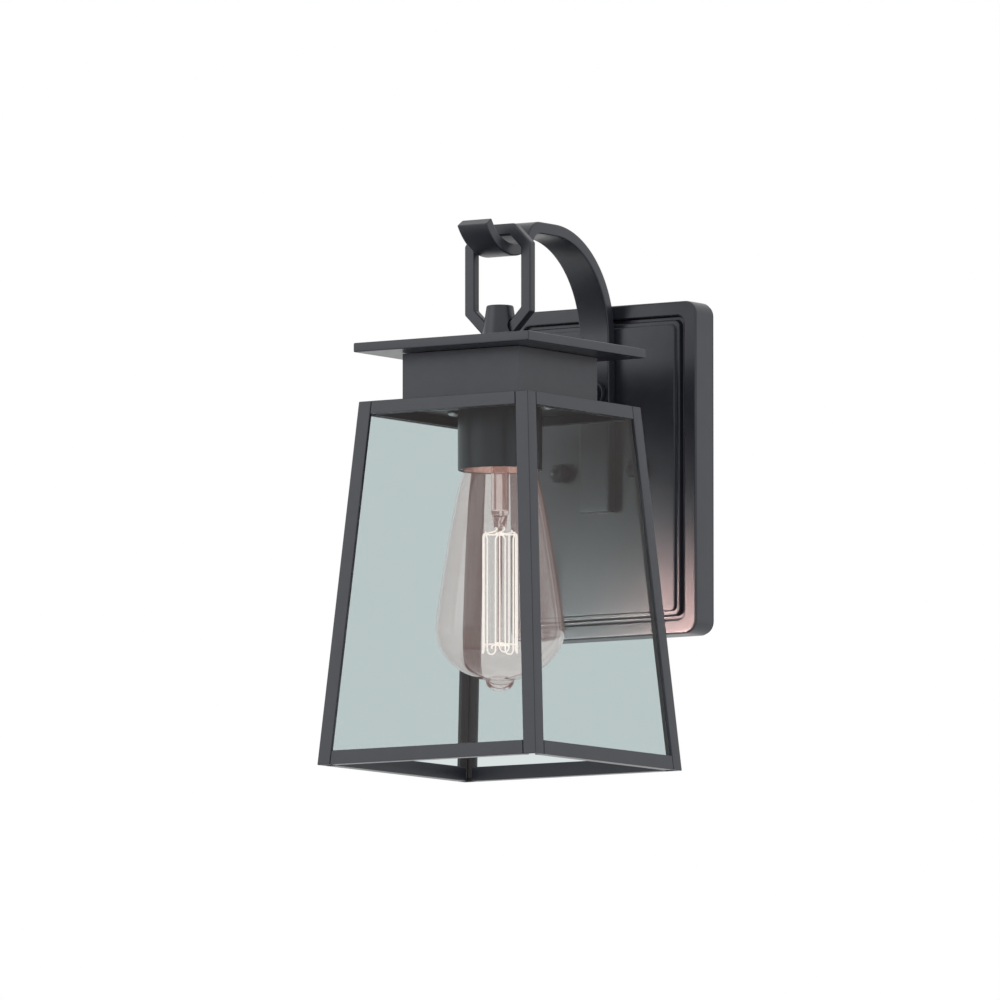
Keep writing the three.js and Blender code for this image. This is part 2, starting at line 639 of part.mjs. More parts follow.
function wireTube() {
  const shoulderFar = neckWallBack - GAP;
  const shoulderNear = shoulderFar - TUBE_SHOULDER_LENGTH;
  return revolveOutward([
    [tubeBoreRadius, tubeNear], [TUBE_RADIUS, tubeNear], [TUBE_RADIUS, shoulderNear],
    [tubeShoulderRadius, shoulderNear], [tubeShoulderRadius, shoulderFar], [TUBE_RADIUS, shoulderFar],
    [TUBE_RADIUS, tubeFar], [tubeBoreRadius, tubeFar], [tubeBoreRadius, tubeNear],
  ], 0, TUBE_HEIGHT, 24);
}

function tubeLocknut(near) {
  return hexNutOutward(locknutFlats, TUBE_RADIUS + HOLE_PLAY, near, near + LOCKNUT_THICKNESS, 0, TUBE_HEIGHT);
}

function tubeCollar() {
  const near = legFront + GAP;
  const disc = outward(collarRadius, near, near + COLLAR_LENGTH, 0, TUBE_HEIGHT, 24);
  return cut(disc, outward(TUBE_RADIUS + HOLE_PLAY, near - 1, near + COLLAR_LENGTH + 1, 0, TUBE_HEIGHT, 24));
}

add('wire_tube', wireTube(), paint);
add('tube_collar', tubeCollar(), paint);
add('tube_locknut_wall', tubeLocknut(panelBack - GAP - LOCKNUT_THICKNESS), zinc);
add('tube_locknut_neck', tubeLocknut(neckWallFront + GAP), zinc);

// ---------------------------------------------------------------- roof, neck, stem and link

const tabEnd = holderFlangeRadius + NECK_TAB_CLEARANCE;
const tabScrewAt = (tabEnd + NECK_WIDTH / 2 - NECK_SHEET) / 2;

function neckBox() {
  const outer = NECK_WIDTH / 2;
  const inner = outer - NECK_SHEET;
  const low = cageTop + GAP;
  const high = neckTop - GAP;
  const shell = cut(
    box(-outer, outer, -outer, outer, low, high),
    box(-inner, inner, -inner, inner, low - 1, high - NECK_SHEET));
  const tabs = SIDES.map(([, side]) => {
    const ends = [side * tabEnd, side * (inner + NECK_SHEET / 2)].sort((a, b) => a - b);
    return box(...ends, -NECK_TAB_WIDTH / 2, NECK_TAB_WIDTH / 2, low, low + NECK_TAB_THICKNESS);
  });
  const tabHoles = SIDES.map(([, side]) => upright(
    NECK_SCREW_RADIUS + HOLE_PLAY, low - 1, low + NECK_TAB_THICKNESS + 1, SMALL_SEGMENTS)
    .translate(side * tabScrewAt, 0, 0));
  const studHole = upright(STEM_STUD_RADIUS + HOLE_PLAY, high - NECK_SHEET - 1, high + 1, SMALL_SEGMENTS);
  const tubeHole = outward(TUBE_RADIUS + HOLE_PLAY, neckWallBack - 1, neckWallFront + 1, 0, TUBE_HEIGHT, 24)
    .translate(0, AXIS_FROM_WALL, 0);
  return cut(join(shell, ...tabs), ...tabHoles, studHole, tubeHole);
}

function neckScrew(side) {
  const headTop = coverBottom - GAP;
  const head = upright(NECK_SCREW_HEAD_RADIUS, headTop - NECK_SCREW_HEAD_THICKNESS, headTop, SMALL_SEGMENTS);
  const shaftTop = cageTop + GAP + NECK_TAB_THICKNESS + NECK_SCREW_PAST_TAB;
  const shaft = upright(NECK_SCREW_RADIUS, headTop - 1, shaftTop, SMALL_SEGMENTS);
  return join(head, shaft).translate(side * tabScrewAt, 0, 0);
}

function roofPlate() {
  const half = ROOF_WIDTH / 2;
  const plate = box(-half, half, -half, half, neckTop, roofTop);
  return cut(plate, upright(STEM_STUD_RADIUS + HOLE_PLAY, neckTop - 1, roofTop + 1, SMALL_SEGMENTS));
}

// Tapered boss with the eye for the link's lower bar, and a stud that goes down into the neck.
function loopStem() {
  const low = roofTop + GAP;
  const studBottom = neckTop - GAP - NECK_SHEET - GAP - STEM_NUT_THICKNESS - STEM_STUD_PAST_NUT;
  const cone = revolve([[0, studBottom], [STEM_STUD_RADIUS, studBottom], [STEM_STUD_RADIUS, low],
    [STEM_BASE_RADIUS, low], [STEM_TOP_RADIUS, roofTop + STEM_HEIGHT], [0, roofTop + STEM_HEIGHT]]);
  const eyeRadius = Math.hypot(LINK_BAR, LINK_THICKNESS) / 2 + LINK_EYE_PLAY;
  const length = 4 * STEM_BASE_RADIUS;
  const eye = new THREE.CylinderGeometry(eyeRadius, eyeRadius, length, 20).rotateZ(quarter);
  return cut(cone, eye.translate(0, 0, linkPivotHeight));
}

function stemNut() {
  const high = neckTop - GAP - NECK_SHEET - GAP;
  const low = high - STEM_NUT_THICKNESS;
  const hex = upright(hexRadius(stemNutFlats), low, high, 6);
  return cut(hex, upright(STEM_STUD_RADIUS + HOLE_PLAY, low - 1, high + 1, SMALL_SEGMENTS));
}

function octagon(width, height, chamfer) {
  const x = width / 2;
  const y = height / 2;
  return [[x - chamfer, -y], [x, chamfer - y], [x, y - chamfer], [x - chamfer, y],
    [chamfer - x, y], [-x, y - chamfer], [-x, chamfer - y], [chamfer - x, -y]];
}

function hangingLink() {
  const outline = polygon(octagon(LINK_WIDTH, LINK_HEIGHT, LINK_CHAMFER));
  const innerChamfer = LINK_CHAMFER - LINK_BAR * (2 - Math.SQRT2);
  const width = LINK_WIDTH - 2 * LINK_BAR;
  outline.holes.push(polygon(octagon(width, LINK_HEIGHT - 2 * LINK_BAR, innerChamfer)));
  return slab(outline, -LINK_THICKNESS / 2, LINK_THICKNESS / 2)
    .translate(0, 0, (linkTop + linkBottom) / 2);
}

add('neck_box', neckBox(), paint, onAxis);
for (const [side, sign] of SIDES) {
  add(`neck_screw_${side}`, neckScrew(sign), zinc, onAxis);
}
add('roof_plate', roofPlate(), paint, onAxis);
add('loop_stem', loopStem(), paint, onAxis);
add('stem_nut', stemNut(), zinc, onAxis);
add('hanging_link', hangingLink(), paint, onAxis);

// ---------------------------------------------------------------- glazed cage

const channelDepth = FRAME_SHEET + 2 * GAP + GLASS_THICKNESS + RAIL_LIP;

// Half the cage's outside width at a height above its bottom.
function halfWidth(height) {
  return (CAGE_BOTTOM_WIDTH + (CAGE_TOP_WIDTH - CAGE_BOTTOM_WIDTH) * (height / CAGE_HEIGHT)) / 2;
}

// A rectangle of the cage's plan at one height, inset from the front face and from the corners.
function faceStrip(height, endInset, from, to) {
  const half = halfWidth(height);
  return { x0: endInset - half, x1: half - endInset, y0: from - half, y1: to - half, z: height };
}

function faceBlock(low, high, endInset, from, to) {
  return taper(faceStrip(low, endInset, from, to), faceStrip(high, endInset, from, to));
}

function cornerSquare(height, from, to) {
  const half = halfWidth(height);
  return { x0: half - to, x1: half - from, y0: half - to, y1: half - from, z: height };
}

// Slanted angle section; the first one stands at the rear right corner.
function cornerPost() {
  const angle = taper(cornerSquare(0, 0, POST_WIDTH), cornerSquare(CAGE_HEIGHT, 0, POST_WIDTH));
  const inside = taper(
    cornerSquare(-1, FRAME_SHEET, POST_WIDTH + 1),
    cornerSquare(CAGE_HEIGHT + 1, FRAME_SHEET, POST_WIDTH + 1));
  return cut(angle, inside);
}

// Channel with its mouth up for the pane's lower edge.
function bottomRail() {
  const endInset = POST_WIDTH + GAP;
  const body = faceBlock(0, BOTTOM_RAIL_HEIGHT, endInset, 0, channelDepth);
  const slot = faceBlock(RAIL_WEB, BOTTOM_RAIL_HEIGHT + 1, 0, FRAME_SHEET, channelDepth - RAIL_LIP);
  return cut(body, slot);
}

function topRail() {
  const endInset = POST_WIDTH + GAP;
  const low = CAGE_HEIGHT - TOP_RAIL_HEIGHT;
  const body = faceBlock(low, CAGE_HEIGHT, endInset, 0, channelDepth);
  const slot = faceBlock(low - 1, CAGE_HEIGHT - RAIL_WEB, 0, FRAME_SHEET, channelDepth - RAIL_LIP);
  return cut(body, slot);
}

function glassPane() {
  const from = FRAME_SHEET + GAP;
  const to = from + GLASS_THICKNESS;
  return faceBlock(RAIL_WEB + GAP, CAGE_HEIGHT - RAIL_WEB - GAP, to + GAP, from, to);
}

function cageCover() {
  const half = CAGE_TOP_WIDTH / 2 - channelDepth - GAP;
  const plate = box(-half, half, -half, half, coverBottom, cageTop);
  const tools = [upright(cupHole, coverBottom - 1, cageTop + 1)];
  for (const [, side] of SIDES) {
    tools.push(upright(NECK_SCREW_RADIUS + HOLE_PLAY, coverBottom - 1, cageTop + 1, SMALL_SEGMENTS)
      .translate(side * tabScrewAt, 0, 0));
    tools.push(upright(HOLDER_SCREW_RADIUS + HOLE_PLAY, coverBottom - 1, cageTop + 1, SMALL_SEGMENTS)
      .translate(0, side * holderScrewAt, 0));
  }
  return cut(plate, ...tools);
}

const cage = new THREE.Group();
cage.position.z = cageBottom;
onAxis.add(cage);
const CORNERS = ['rear_right', 'rear_left', 'front_left', 'front_right'];
CORNERS.forEach((corner, i) => {
  add(`corner_post_${corner}`, cornerPost(), paint, cage).rotation.z = i * quarter;
});
FACES.forEach((face, i) => {
  add(`bottom_rail_${face}`, bottomRail(), paint, cage).rotation.z = i * quarter;
  add(`top_rail_${face}`, topRail(), paint, cage).rotation.z = i * quarter;
  add(`glass_pane_${face}`, glassPane(), glass, cage).rotation.z = i * quarter;
});
add('cage_cover', cageCover(), paint, onAxis);

// ---------------------------------------------------------------- lampholder

function socketCup() {
  const inner = cupInnerRadius;
  const ring = revolveRing([[cupHole, cupTop - CUP_FLANGE], [inner, cupTop - CUP_FLANGE], [inner, cupMouth],
    [cupRadius, cupMouth], [cupRadius, cupTop], [cupHole, cupTop]], CUP_SEGMENTS);
  const holes = SIDES.map(([, side]) => upright(
    HOLDER_SCREW_RADIUS + HOLE_PLAY, cupTop - CUP_FLANGE - 1, cupTop + 1, SMALL_SEGMENTS)
    .translate(0, side * holderScrewAt, 0));
  return cut(ring, ...holes);
}

function socketRing() {
  const outer = cupInnerRadius - GAP;
  const low = cupMouth + RING_ABOVE_MOUTH;
  return revolveRing([[outer - RING_LIP, low], [outer, low], [outer, low + RING_LENGTH],
    [outer - RING_BAND, low + RING_LENGTH]], CUP_SEGMENTS);
}

function lampholder() {
  const flangeTop = holderFlangeBottom + HOLDER_FLANGE_THICKNESS;
  const body = revolve([[0, holderCavityTop], [holderCavityRadius, holderCavityTop],
    [holderCavityRadius, holderMouth], [holderRadius, holderMouth], [holderRadius, holderFlangeBottom],
    [holderFlangeRadius, holderFlangeBottom], [holderFlangeRadius, flangeTop],
    [holderRadius, flangeTop], [holderRadius - HOLDER_TAPER, holderTop], [0, holderTop]]);
  const holes = SIDES.map(([, side]) => upright(
    HOLDER_SCREW_RADIUS + HOLE_PLAY, holderFlangeBottom - 1, flangeTop + 1, SMALL_SEGMENTS)
    .translate(0, side * holderScrewAt, 0));
  return cut(body, ...holes);
}

function holderScrew(side) {
  const headLow = holderFlangeBottom + HOLDER_FLANGE_THICKNESS + GAP;
  const headHigh = headLow + HOLDER_SCREW_HEAD_THICKNESS;
  const head = upright(HOLDER_SCREW_HEAD_RADIUS, headLow, headHigh, SMALL_SEGMENTS);
  const shaft = upright(HOLDER_SCREW_RADIUS, cupTop - CUP_FLANGE + GAP, headLow + 1, SMALL_SEGMENTS);
  return join(head, shaft).translate(0, side * holderScrewAt, 0);
}

function screwShell() {
  const low = holderMouth + SHELL_UP_FROM_MOUTH;
  const outer = shellInnerRadius + SHELL_THICKNESS;
  return revolveRing([[shellInnerRadius, low], [outer, low], [outer, low + SHELL_LENGTH],
    [shellInnerRadius, low + SHELL_LENGTH]]);
}

add('socket_cup', socketCup(), paint, onAxis);
add('socket_ring', socketRing(), copper, onAxis);
add('lampholder', lampholder(), porcelain, onAxis);
add('holder_screw_rear', holderScrew(1), zinc, onAxis);
add('holder_screw_front', holderScrew(-1), zinc, onAxis);
add('screw_shell', screwShell(), copper, onAxis);
add('socket_contact', upright(
  CONTACT_STRIP_RADIUS, lampContactTop + GAP, lampContactTop + GAP + CONTACT_STRIP_THICKNESS,
  SMALL_SEGMENTS), brass, onAxis);

// ---------------------------------------------------------------- bulb

// Envelope outline from the neck's open end down to the exhaust tip; inset moves it inwards.
function envelope(inset) {
  const neckTopEnd = lampRim + GLASS_NECK_LENGTH;
  const pairs = [[glassNeckRadius - inset, neckTopEnd]];
  const flare = new THREE.CatmullRomCurve3([
    new THREE.Vector3(glassNeckRadius, 0, lampRim),
    new THREE.Vector3(BULB_SHOULDER_RADIUS - BULB_FLARE, 0, lampRim - BULB_FLARE_DROP),
    new THREE.Vector3(BULB_SHOULDER_RADIUS, 0, lampRim - BULB_SHOULDER_DROP),
    new THREE.Vector3(BULB_MIDDLE_RADIUS, 0, lampRim - BULB_MIDDLE_DROP),
    new THREE.Vector3(BULB_LOW_RADIUS, 0, lampRim - BULB_LOW_DROP),
    new THREE.Vector3(BULB_RADIUS, 0, lampRim - BULB_WIDEST_DROP),
  ]);
  for (const point of flare.getPoints(11)) {
    pairs.push([point.x - inset, point.z]);
  }
  const centre = lampRim - BULB_WIDEST_DROP;
  const bottomAngle = Math.acos(BULB_TIP_RADIUS / BULB_RADIUS);
  for (let i = 1; i <= 5; i += 1) {
    const angle = (i / 5) * bottomAngle;
    const height = centre - (BULB_BOTTOM_ROUND - inset) * Math.sin(angle);
    pairs.push([(BULB_RADIUS - inset) * Math.cos(angle), height]);
  }
  const [tipRadius, tipTop] = pairs[pairs.length - 1];
  for (let i = 1; i <= 3; i += 1) {
    const angle = (i / 3) * quarter;
    pairs.push([i === 3 ? 0 : tipRadius * Math.cos(angle), tipTop - BULB_TIP_LENGTH * Math.sin(angle)]);
  }
  return pairs;
}

function bulbGlass() {
  return revolve([...envelope(0).reverse(), ...envelope(GLASS_WALL)], BULB_SEGMENTS);
}

function bulbBase() {
  const inner = LAMP_BASE_RADIUS - LAMP_BASE_SHEET;
  return revolveRing([[inner, lampRim + GAP], [LAMP_BASE_RADIUS, lampRim + GAP],
    [LAMP_BASE_RADIUS, lampBaseTop - GAP], [inner, lampBaseTop - GAP]]);
}

function baseInsulator() {
  return revolve([[0, lampBaseTop], [LAMP_BASE_RADIUS - LAMP_INSULATOR_INSET, lampBaseTop],
    [LAMP_INSULATOR_RADIUS, lampContactBottom - GAP], [0, lampContactBottom - GAP]]);
}

function baseContact() {
  return revolve([[0, lampContactBottom], [LAMP_CONTACT_RADIUS, lampContactBottom],
    [LAMP_CONTACT_RADIUS * 0.65, lampContactTop], [0, lampContactTop]], SMALL_SEGMENTS);
}

const pinchTop = lampRim - GLASS_STEM_DROP;
const pinchBottom = pinchTop - GLASS_PINCH_LENGTH;

function pinchLevel(x, y, z) {
  return { x0: -x, x1: x, y0: -y, y1: y, z };
}

// Flared stem tube closed by a flat pinch, with the long centre rod that carries the filament.
function glassStem() {
  const flareTop = lampRim + GLASS_NECK_LENGTH - 1;
  const body = revolve([[0, pinchTop], [GLASS_STEM_RADIUS, pinchTop], [GLASS_STEM_RADIUS, lampRim + 2],
    [GLASS_STEM_FLARE, flareTop], [GLASS_STEM_FLARE - GLASS_WALL, flareTop],
    [GLASS_STEM_RADIUS - GLASS_WALL, lampRim + 2],
    [GLASS_STEM_RADIUS - GLASS_WALL, pinchTop + 2], [0, pinchTop + 2]], 24);
  const pinch = taper(
    pinchLevel(LEAD_IN_AT + PINCH_MARGIN, PINCH_HALF_THICKNESS, pinchBottom),
    pinchLevel(LEAD_IN_AT + PINCH_MARGIN, GLASS_STEM_RADIUS / 2, pinchTop + 0.5));
  const rod = upright(CENTRE_ROD_RADIUS, lampRim - CENTRE_ROD_DROP, pinchBottom + 1, 12);
  return join(body, pinch, rod);
}

function aroundAxis(radius, angle, z) {
  return new THREE.Vector3(radius * Math.cos(angle), radius * Math.sin(angle), z);
}

// One wire: a lead-in from the pinch, strands up and down round the axis that turn back at the
// bottom and the top by turns, and the other lead-in back up to the pinch.
function filament() {
  const step = (2 * Math.PI) / (FILAMENT_STRANDS + 1);
  const top = lampRim - FILAMENT_TOP_DROP;
  const bottom = lampRim - FILAMENT_BOTTOM_DROP;
  const turn = FILAMENT_CAGE_RADIUS * step / 2;
  const leadIn = [
    new THREE.Vector3(LEAD_IN_AT, 0, pinchBottom - GAP),
    new THREE.Vector3(LEAD_IN_AT + 1, -0.3 * FILAMENT_CAGE_RADIUS, top + 1.5),
    new THREE.Vector3(0.5 * FILAMENT_CAGE_RADIUS, -0.75 * FILAMENT_CAGE_RADIUS, top),
  ];
  const points = [...leadIn];
  for (let strand = 0; strand < FILAMENT_STRANDS; strand += 1) {
    const angle = (strand + 1) * step - quarter;
    const down = strand % 2 === 0;
    const ends = down ? [top - turn, bottom + turn] : [bottom + turn, top - turn];
    points.push(aroundAxis(FILAMENT_CAGE_RADIUS, angle, ends[0]));
    points.push(aroundAxis(FILAMENT_CAGE_RADIUS, angle, (ends[0] + ends[1]) / 2));
    points.push(aroundAxis(FILAMENT_CAGE_RADIUS, angle, ends[1]));
    if (strand < FILAMENT_STRANDS - 1) {
      points.push(aroundAxis(FILAMENT_CAGE_RADIUS, angle + step / 2, down ? bottom : top));
    }
  }
  for (const point of leadIn.reverse()) {
    points.push(new THREE.Vector3(-point.x, point.y, point.z));
  }
  return wire(points, FILAMENT_RADIUS, 96, 4, 0.35);
}

// Ring of wire arms from a hub on the centre rod, each ending just short of the filament.
function spider(z) {
  const hubHalf = SPIDER_HUB_LENGTH / 2;
  const inner = CENTRE_ROD_RADIUS + SPIDER_HUB_PLAY;
  const outer = inner + SPIDER_HUB_WALL;
  const hub = revolveRing([[inner, z - hubHalf], [outer, z - hubHalf], [outer, z + hubHalf],
    [inner, z + hubHalf]], 12);
  const reach = FILAMENT_CAGE_RADIUS - FILAMENT_RADIUS - GAP;
  const root = outer - SPIDER_WIRE_RADIUS;
  const arms = [];
  const count = FILAMENT_STRANDS / 2;
  for (let i = 0; i < count; i += 1) {
    const angle = (i / count) * 2 * Math.PI;
    const arm = new THREE.CylinderGeometry(SPIDER_WIRE_RADIUS, SPIDER_WIRE_RADIUS, reach - root, 6);
    arms.push(arm.rotateZ(quarter).translate((reach + root) / 2, 0, 0).rotateZ(angle).translate(0, 0, z));
  }
  return join(hub, ...arms);
}

add('bulb_glass', bulbGlass(), clearGlass, onAxis);
add('bulb_base', bulbBase(), brass, onAxis);
add('base_insulator', baseInsulator(), blackGlass, onAxis);
add('base_contact', baseContact(), brass, onAxis);
add('glass_stem', glassStem(), clearGlass, onAxis);
add('filament', filament(), tungsten, onAxis);
add('filament_spider', spider(lampRim - FILAMENT_TOP_DROP - SPIDER_BELOW_TOP), tungsten, onAxis);

// ---------------------------------------------------------------- supply leads

// From a terminal on the lampholder's top, back through the tube, then down behind the plate.
function supplyLead(side) {
  const x = side * LEAD_SPACING / 2;
  const hangY = LEAD_BEHIND_PANEL - panelFront;
  const terminal = side * LEAD_TERMINAL_AT;
  const start = holderTop + GAP;
  const points = [
    [terminal, axisY, start], [terminal, axisY + 0.6, start + 2], [terminal, axisY + 4, TUBE_HEIGHT - 1],
    [(terminal + x) / 2, axisY + 10, TUBE_HEIGHT], [x, axisY + 18, TUBE_HEIGHT],
    [x, axisY / 2, TUBE_HEIGHT], [x, -panelFront, TUBE_HEIGHT], [x, -tubeNear, TUBE_HEIGHT],
    [x, hangY - 1, TUBE_HEIGHT - 1.6], [x, hangY, TUBE_HEIGHT - 6],
    [x + side * 2, hangY, TUBE_HEIGHT - LEAD_DROP / 2], [x + side * 6, hangY, TUBE_HEIGHT - LEAD_DROP],
  ];
  return wire(points.map((point) => new THREE.Vector3(...point)), LEAD_RADIUS, 46, 6);
}

add('live_lead', supplyLead(1), blackInsulation);
add('neutral_lead', supplyLead(-1), whiteInsulation);

export default lantern;
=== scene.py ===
import json
import math

import bmesh
import bpy
from mathutils import Matrix, Vector

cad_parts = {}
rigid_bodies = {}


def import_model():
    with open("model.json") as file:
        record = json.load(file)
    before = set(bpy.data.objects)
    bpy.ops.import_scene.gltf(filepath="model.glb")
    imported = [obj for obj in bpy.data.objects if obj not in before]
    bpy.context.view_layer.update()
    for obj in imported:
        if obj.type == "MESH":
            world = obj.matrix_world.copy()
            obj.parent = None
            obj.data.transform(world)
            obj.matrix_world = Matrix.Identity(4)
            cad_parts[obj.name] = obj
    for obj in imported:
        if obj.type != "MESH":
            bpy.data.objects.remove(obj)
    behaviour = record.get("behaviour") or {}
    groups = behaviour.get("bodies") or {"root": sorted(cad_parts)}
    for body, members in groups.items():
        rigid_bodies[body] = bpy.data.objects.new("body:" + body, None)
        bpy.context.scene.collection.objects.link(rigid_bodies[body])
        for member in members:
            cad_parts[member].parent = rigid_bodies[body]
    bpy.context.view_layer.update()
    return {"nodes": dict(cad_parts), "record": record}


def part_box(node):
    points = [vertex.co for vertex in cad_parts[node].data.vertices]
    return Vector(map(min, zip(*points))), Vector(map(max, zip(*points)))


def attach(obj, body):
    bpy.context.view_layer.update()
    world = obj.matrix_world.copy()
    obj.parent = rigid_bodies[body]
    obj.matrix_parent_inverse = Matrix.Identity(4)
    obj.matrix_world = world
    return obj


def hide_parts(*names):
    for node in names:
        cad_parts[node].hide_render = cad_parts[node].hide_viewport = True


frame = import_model()

# Outdoor wall lantern. Metres, +Z up, the wall is the plane Y = 0 and the lantern stands out towards
# -Y. Places come from the boxes of the CAD nodes; the sizes below are those that a box can't give.

MM = 0.001
QUARTER = math.pi / 2

PLATE_CORNER = 7 * MM
PLATE_SHEET = 1.8 * MM
PLATE_EDGE = 1.2 * MM            # rounding between the plate's side and its rim
RIM_WIDTH = 7.2 * MM
RIM_STEP = 2 * MM                # raised panel in front of the rim
GROOVE_WIDTH = 4.5 * MM
GROOVE_DEPTH = 2.6 * MM
PANEL_CORNER = 2.5 * MM
LEDGE_WIDTH = 2 * MM             # bead between the groove and the panel
LEDGE_DROP = 1.5 * MM
HOLE_PLAY = 0.3 * MM
OVERCUT = 1e-5                   # keeps a cutter's end off the end that it cuts
STUD_SPACING = 46 * MM
STUD_RADIUS = 2 * MM
ARM_SCREW_RADIUS = 2 * MM
ARM_SCREWS = ("arm_screw_lower", "arm_screw_upper")

STUD_NUT_FLATS = 7 * MM
CAP_NUT_FLATS = 9 * MM
CAP_NUT_HEXAGON = 4.6 * MM       # length of its six-sided foot
GASKET_WIDTH = 6 * MM
GASKET_CORNER = 6.4 * MM
STEM_NUT_FLATS = 10 * MM
LOCKNUT_FLATS = 14 * MM
NUT_FIT = 0.05 * MM              # radial, on its thread

STRIP_THICKNESS = 6 * MM
STRIP_EDGE = 0.9 * MM
ARM_FLAT = 13.6 * MM
CREST_RADIUS = 9 * MM
VALLEY_BACK_RADIUS = 20 * MM
VALLEY_FRONT_RADIUS = 25.5 * MM
VALLEY_AHEAD = 1 * MM
HOOK_TIP_ANGLE = math.radians(59)
HOOK_DROP = 13.3 * MM

TUBE_RADIUS = 5 * MM
TUBE_BORE = 3.7 * MM
SHOULDER_LENGTH = 3 * MM
STEM_BASE_RADIUS = 9.7 * MM
STEM_TOP_RADIUS = 6.7 * MM
STEM_STUD_RADIUS = 3 * MM
STEM_HEIGHT = 20.2 * MM
LINK_BAR = 5.8 * MM
LINK_THICKNESS = 4.9 * MM
EYE_PLAY = 0.3 * MM

CUP_WALL = 1.2 * MM
CUP_FLANGE = 2 * MM
CUP_HOLE = 16.8 * MM
RING_BAND = 2.3 * MM
RING_LIP = 0.8 * MM
HOLDER_RADIUS = 16.4 * MM
HOLDER_CAVITY = 14.3 * MM
HOLDER_FLANGE = 3 * MM
HOLDER_ROOF = 4 * MM
HOLDER_TOP_RADIUS = 13 * MM
HOLDER_SCREW_AT = 18.9 * MM
HOLDER_SCREW_RADIUS = 1.3 * MM
HOLDER_LIP = 2.2 * MM            # lampholder's mouth above the lamp base's rim

THREAD_PITCH = 25.4 * MM / 7
THREAD_DEPTH = 0.75 * MM
BASE_SHEET = 0.3 * MM
SHELL_SHEET = 0.5 * MM
GLASS_WALL = 0.9 * MM
GLASS_NECK_RADIUS = 12.1 * MM
GLASS_NECK_LENGTH = 12 * MM
BULB_SHOULDER_RADIUS = 19.7 * MM
BULB_SHOULDER_DROP = 10.6 * MM
BULB_FLARE = 4.6 * MM            # shoulder's radius less the radius halfway up the flare
BULB_MIDDLE_RADIUS = 25.026 * MM
BULB_LOW_STEP = 1.6 * MM         # widest radius less the radius a little above it
BULB_RADIUS = 32.4 * MM
BULB_WIDEST_DROP = 86 * MM
BULB_BOTTOM_ROUND = 26 * MM
BULB_TIP_RADIUS = 7.2 * MM
BULB_TIP_LENGTH = 6 * MM
STEM_GLASS_RADIUS = 4.5 * MM
STEM_GLASS_FLARE = 8 * MM
STEM_GLASS_DROP = 29 * MM
PINCH_LENGTH = 6 * MM
CENTRE_ROD_RADIUS = 1.1 * MM
CENTRE_ROD_DROP = 97 * MM
FILAMENT_WIRE = 0.38 * MM
FILAMENT_STRANDS = 10
FILAMENT_CAGE_RADIUS = 8.6 * MM
FILAMENT_TOP_DROP = 38 * MM
FILAMENT_BOTTOM_DROP = 98 * MM
LEAD_IN_AT = 2.4 * MM
SPIDER_WIRE = 0.42 * MM

LEAD_RADIUS = 1 * MM
LEAD_SPACING = 3.4 * MM
LEAD_TERMINAL_AT = 6 * MM
LEAD_DROP = 84 * MM
LEAD_BEHIND_PANEL = 11.5 * MM

FINE = 96                        # segments of a large round piece
MEDIUM = 48
SMALL = 32

record = frame["record"]
BODY_OF = {node: body for body, nodes in record["behaviour"]["bodies"].items() for node in nodes}
SLOT_OF = {row["node"]: row["material_slot"] for row in record["subparts"]}


def low(node):
    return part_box(node)[0]


def high(node):
    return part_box(node)[1]


def middle(node):
    return (low(node) + high(node)) / 2


def radius_of(node):
    return (high(node) - low(node)).x / 2


def wall_span(node):
    """How far a node's two ends stand from the wall."""
    return -high(node).y, -low(node).y


AXIS_Y = middle("roof_plate").y
TUBE_Z = middle("wire_tube").z
PANEL_FRONT = -low("wall_plate").y
PANEL_BACK = PANEL_FRONT - PLATE_SHEET
LEG_BACK = -high("hook_arm").y
LINK_PIVOT_Z = low("hanging_link").z + LINK_BAR / 2
LAMP_RIM = low("lampholder").z - HOLDER_LIP
ON_AXIS = Matrix.Translation((0, AXIS_Y, 0))
UNMOVED = Matrix.Identity(4)
OUT_OF_WALL = Matrix.Rotation(QUARTER, 4, "X")   # height above Z = 0 becomes distance from the wall
ALONG_TUBE = Matrix.Translation((0, 0, TUBE_Z)) @ OUT_OF_WALL


def square_to_wall(node):
    """Puts what is made about Z on the node's own axis, square to the wall."""
    return Matrix.Translation((middle(node).x, 0, middle(node).z)) @ OUT_OF_WALL


# ---- camera, light and floor

VIEW_AZIMUTH = math.radians(34.05)
VIEW_ELEVATION = math.radians(-5.6)
VIEW_DISTANCE = 8.0
VIEW_LENS = 577.3
VIEW_ABOVE_CAGE_FOOT = 134.1 * MM


def aim(thing, target):
    thing.rotation_euler = (Vector(target) - thing.location).to_track_quat("-Z", "Y").to_euler()


def add_camera():
    camera = bpy.data.objects.new("camera", bpy.data.cameras.new("camera"))
    camera.data.sensor_width = 36
    camera.data.lens = VIEW_LENS
    camera.data.clip_end = 40
    target = Vector((0, AXIS_Y, low("corner_post_front_left").z + VIEW_ABOVE_CAGE_FOOT))
    back = Vector((math.sin(VIEW_AZIMUTH) * math.cos(VIEW_ELEVATION),
                   -math.cos(VIEW_AZIMUTH) * math.cos(VIEW_ELEVATION), math.sin(VIEW_ELEVATION)))
    camera.location = target + VIEW_DISTANCE * back
    aim(camera, target)
    bpy.context.scene.collection.objects.link(camera)
    bpy.context.scene.camera = camera


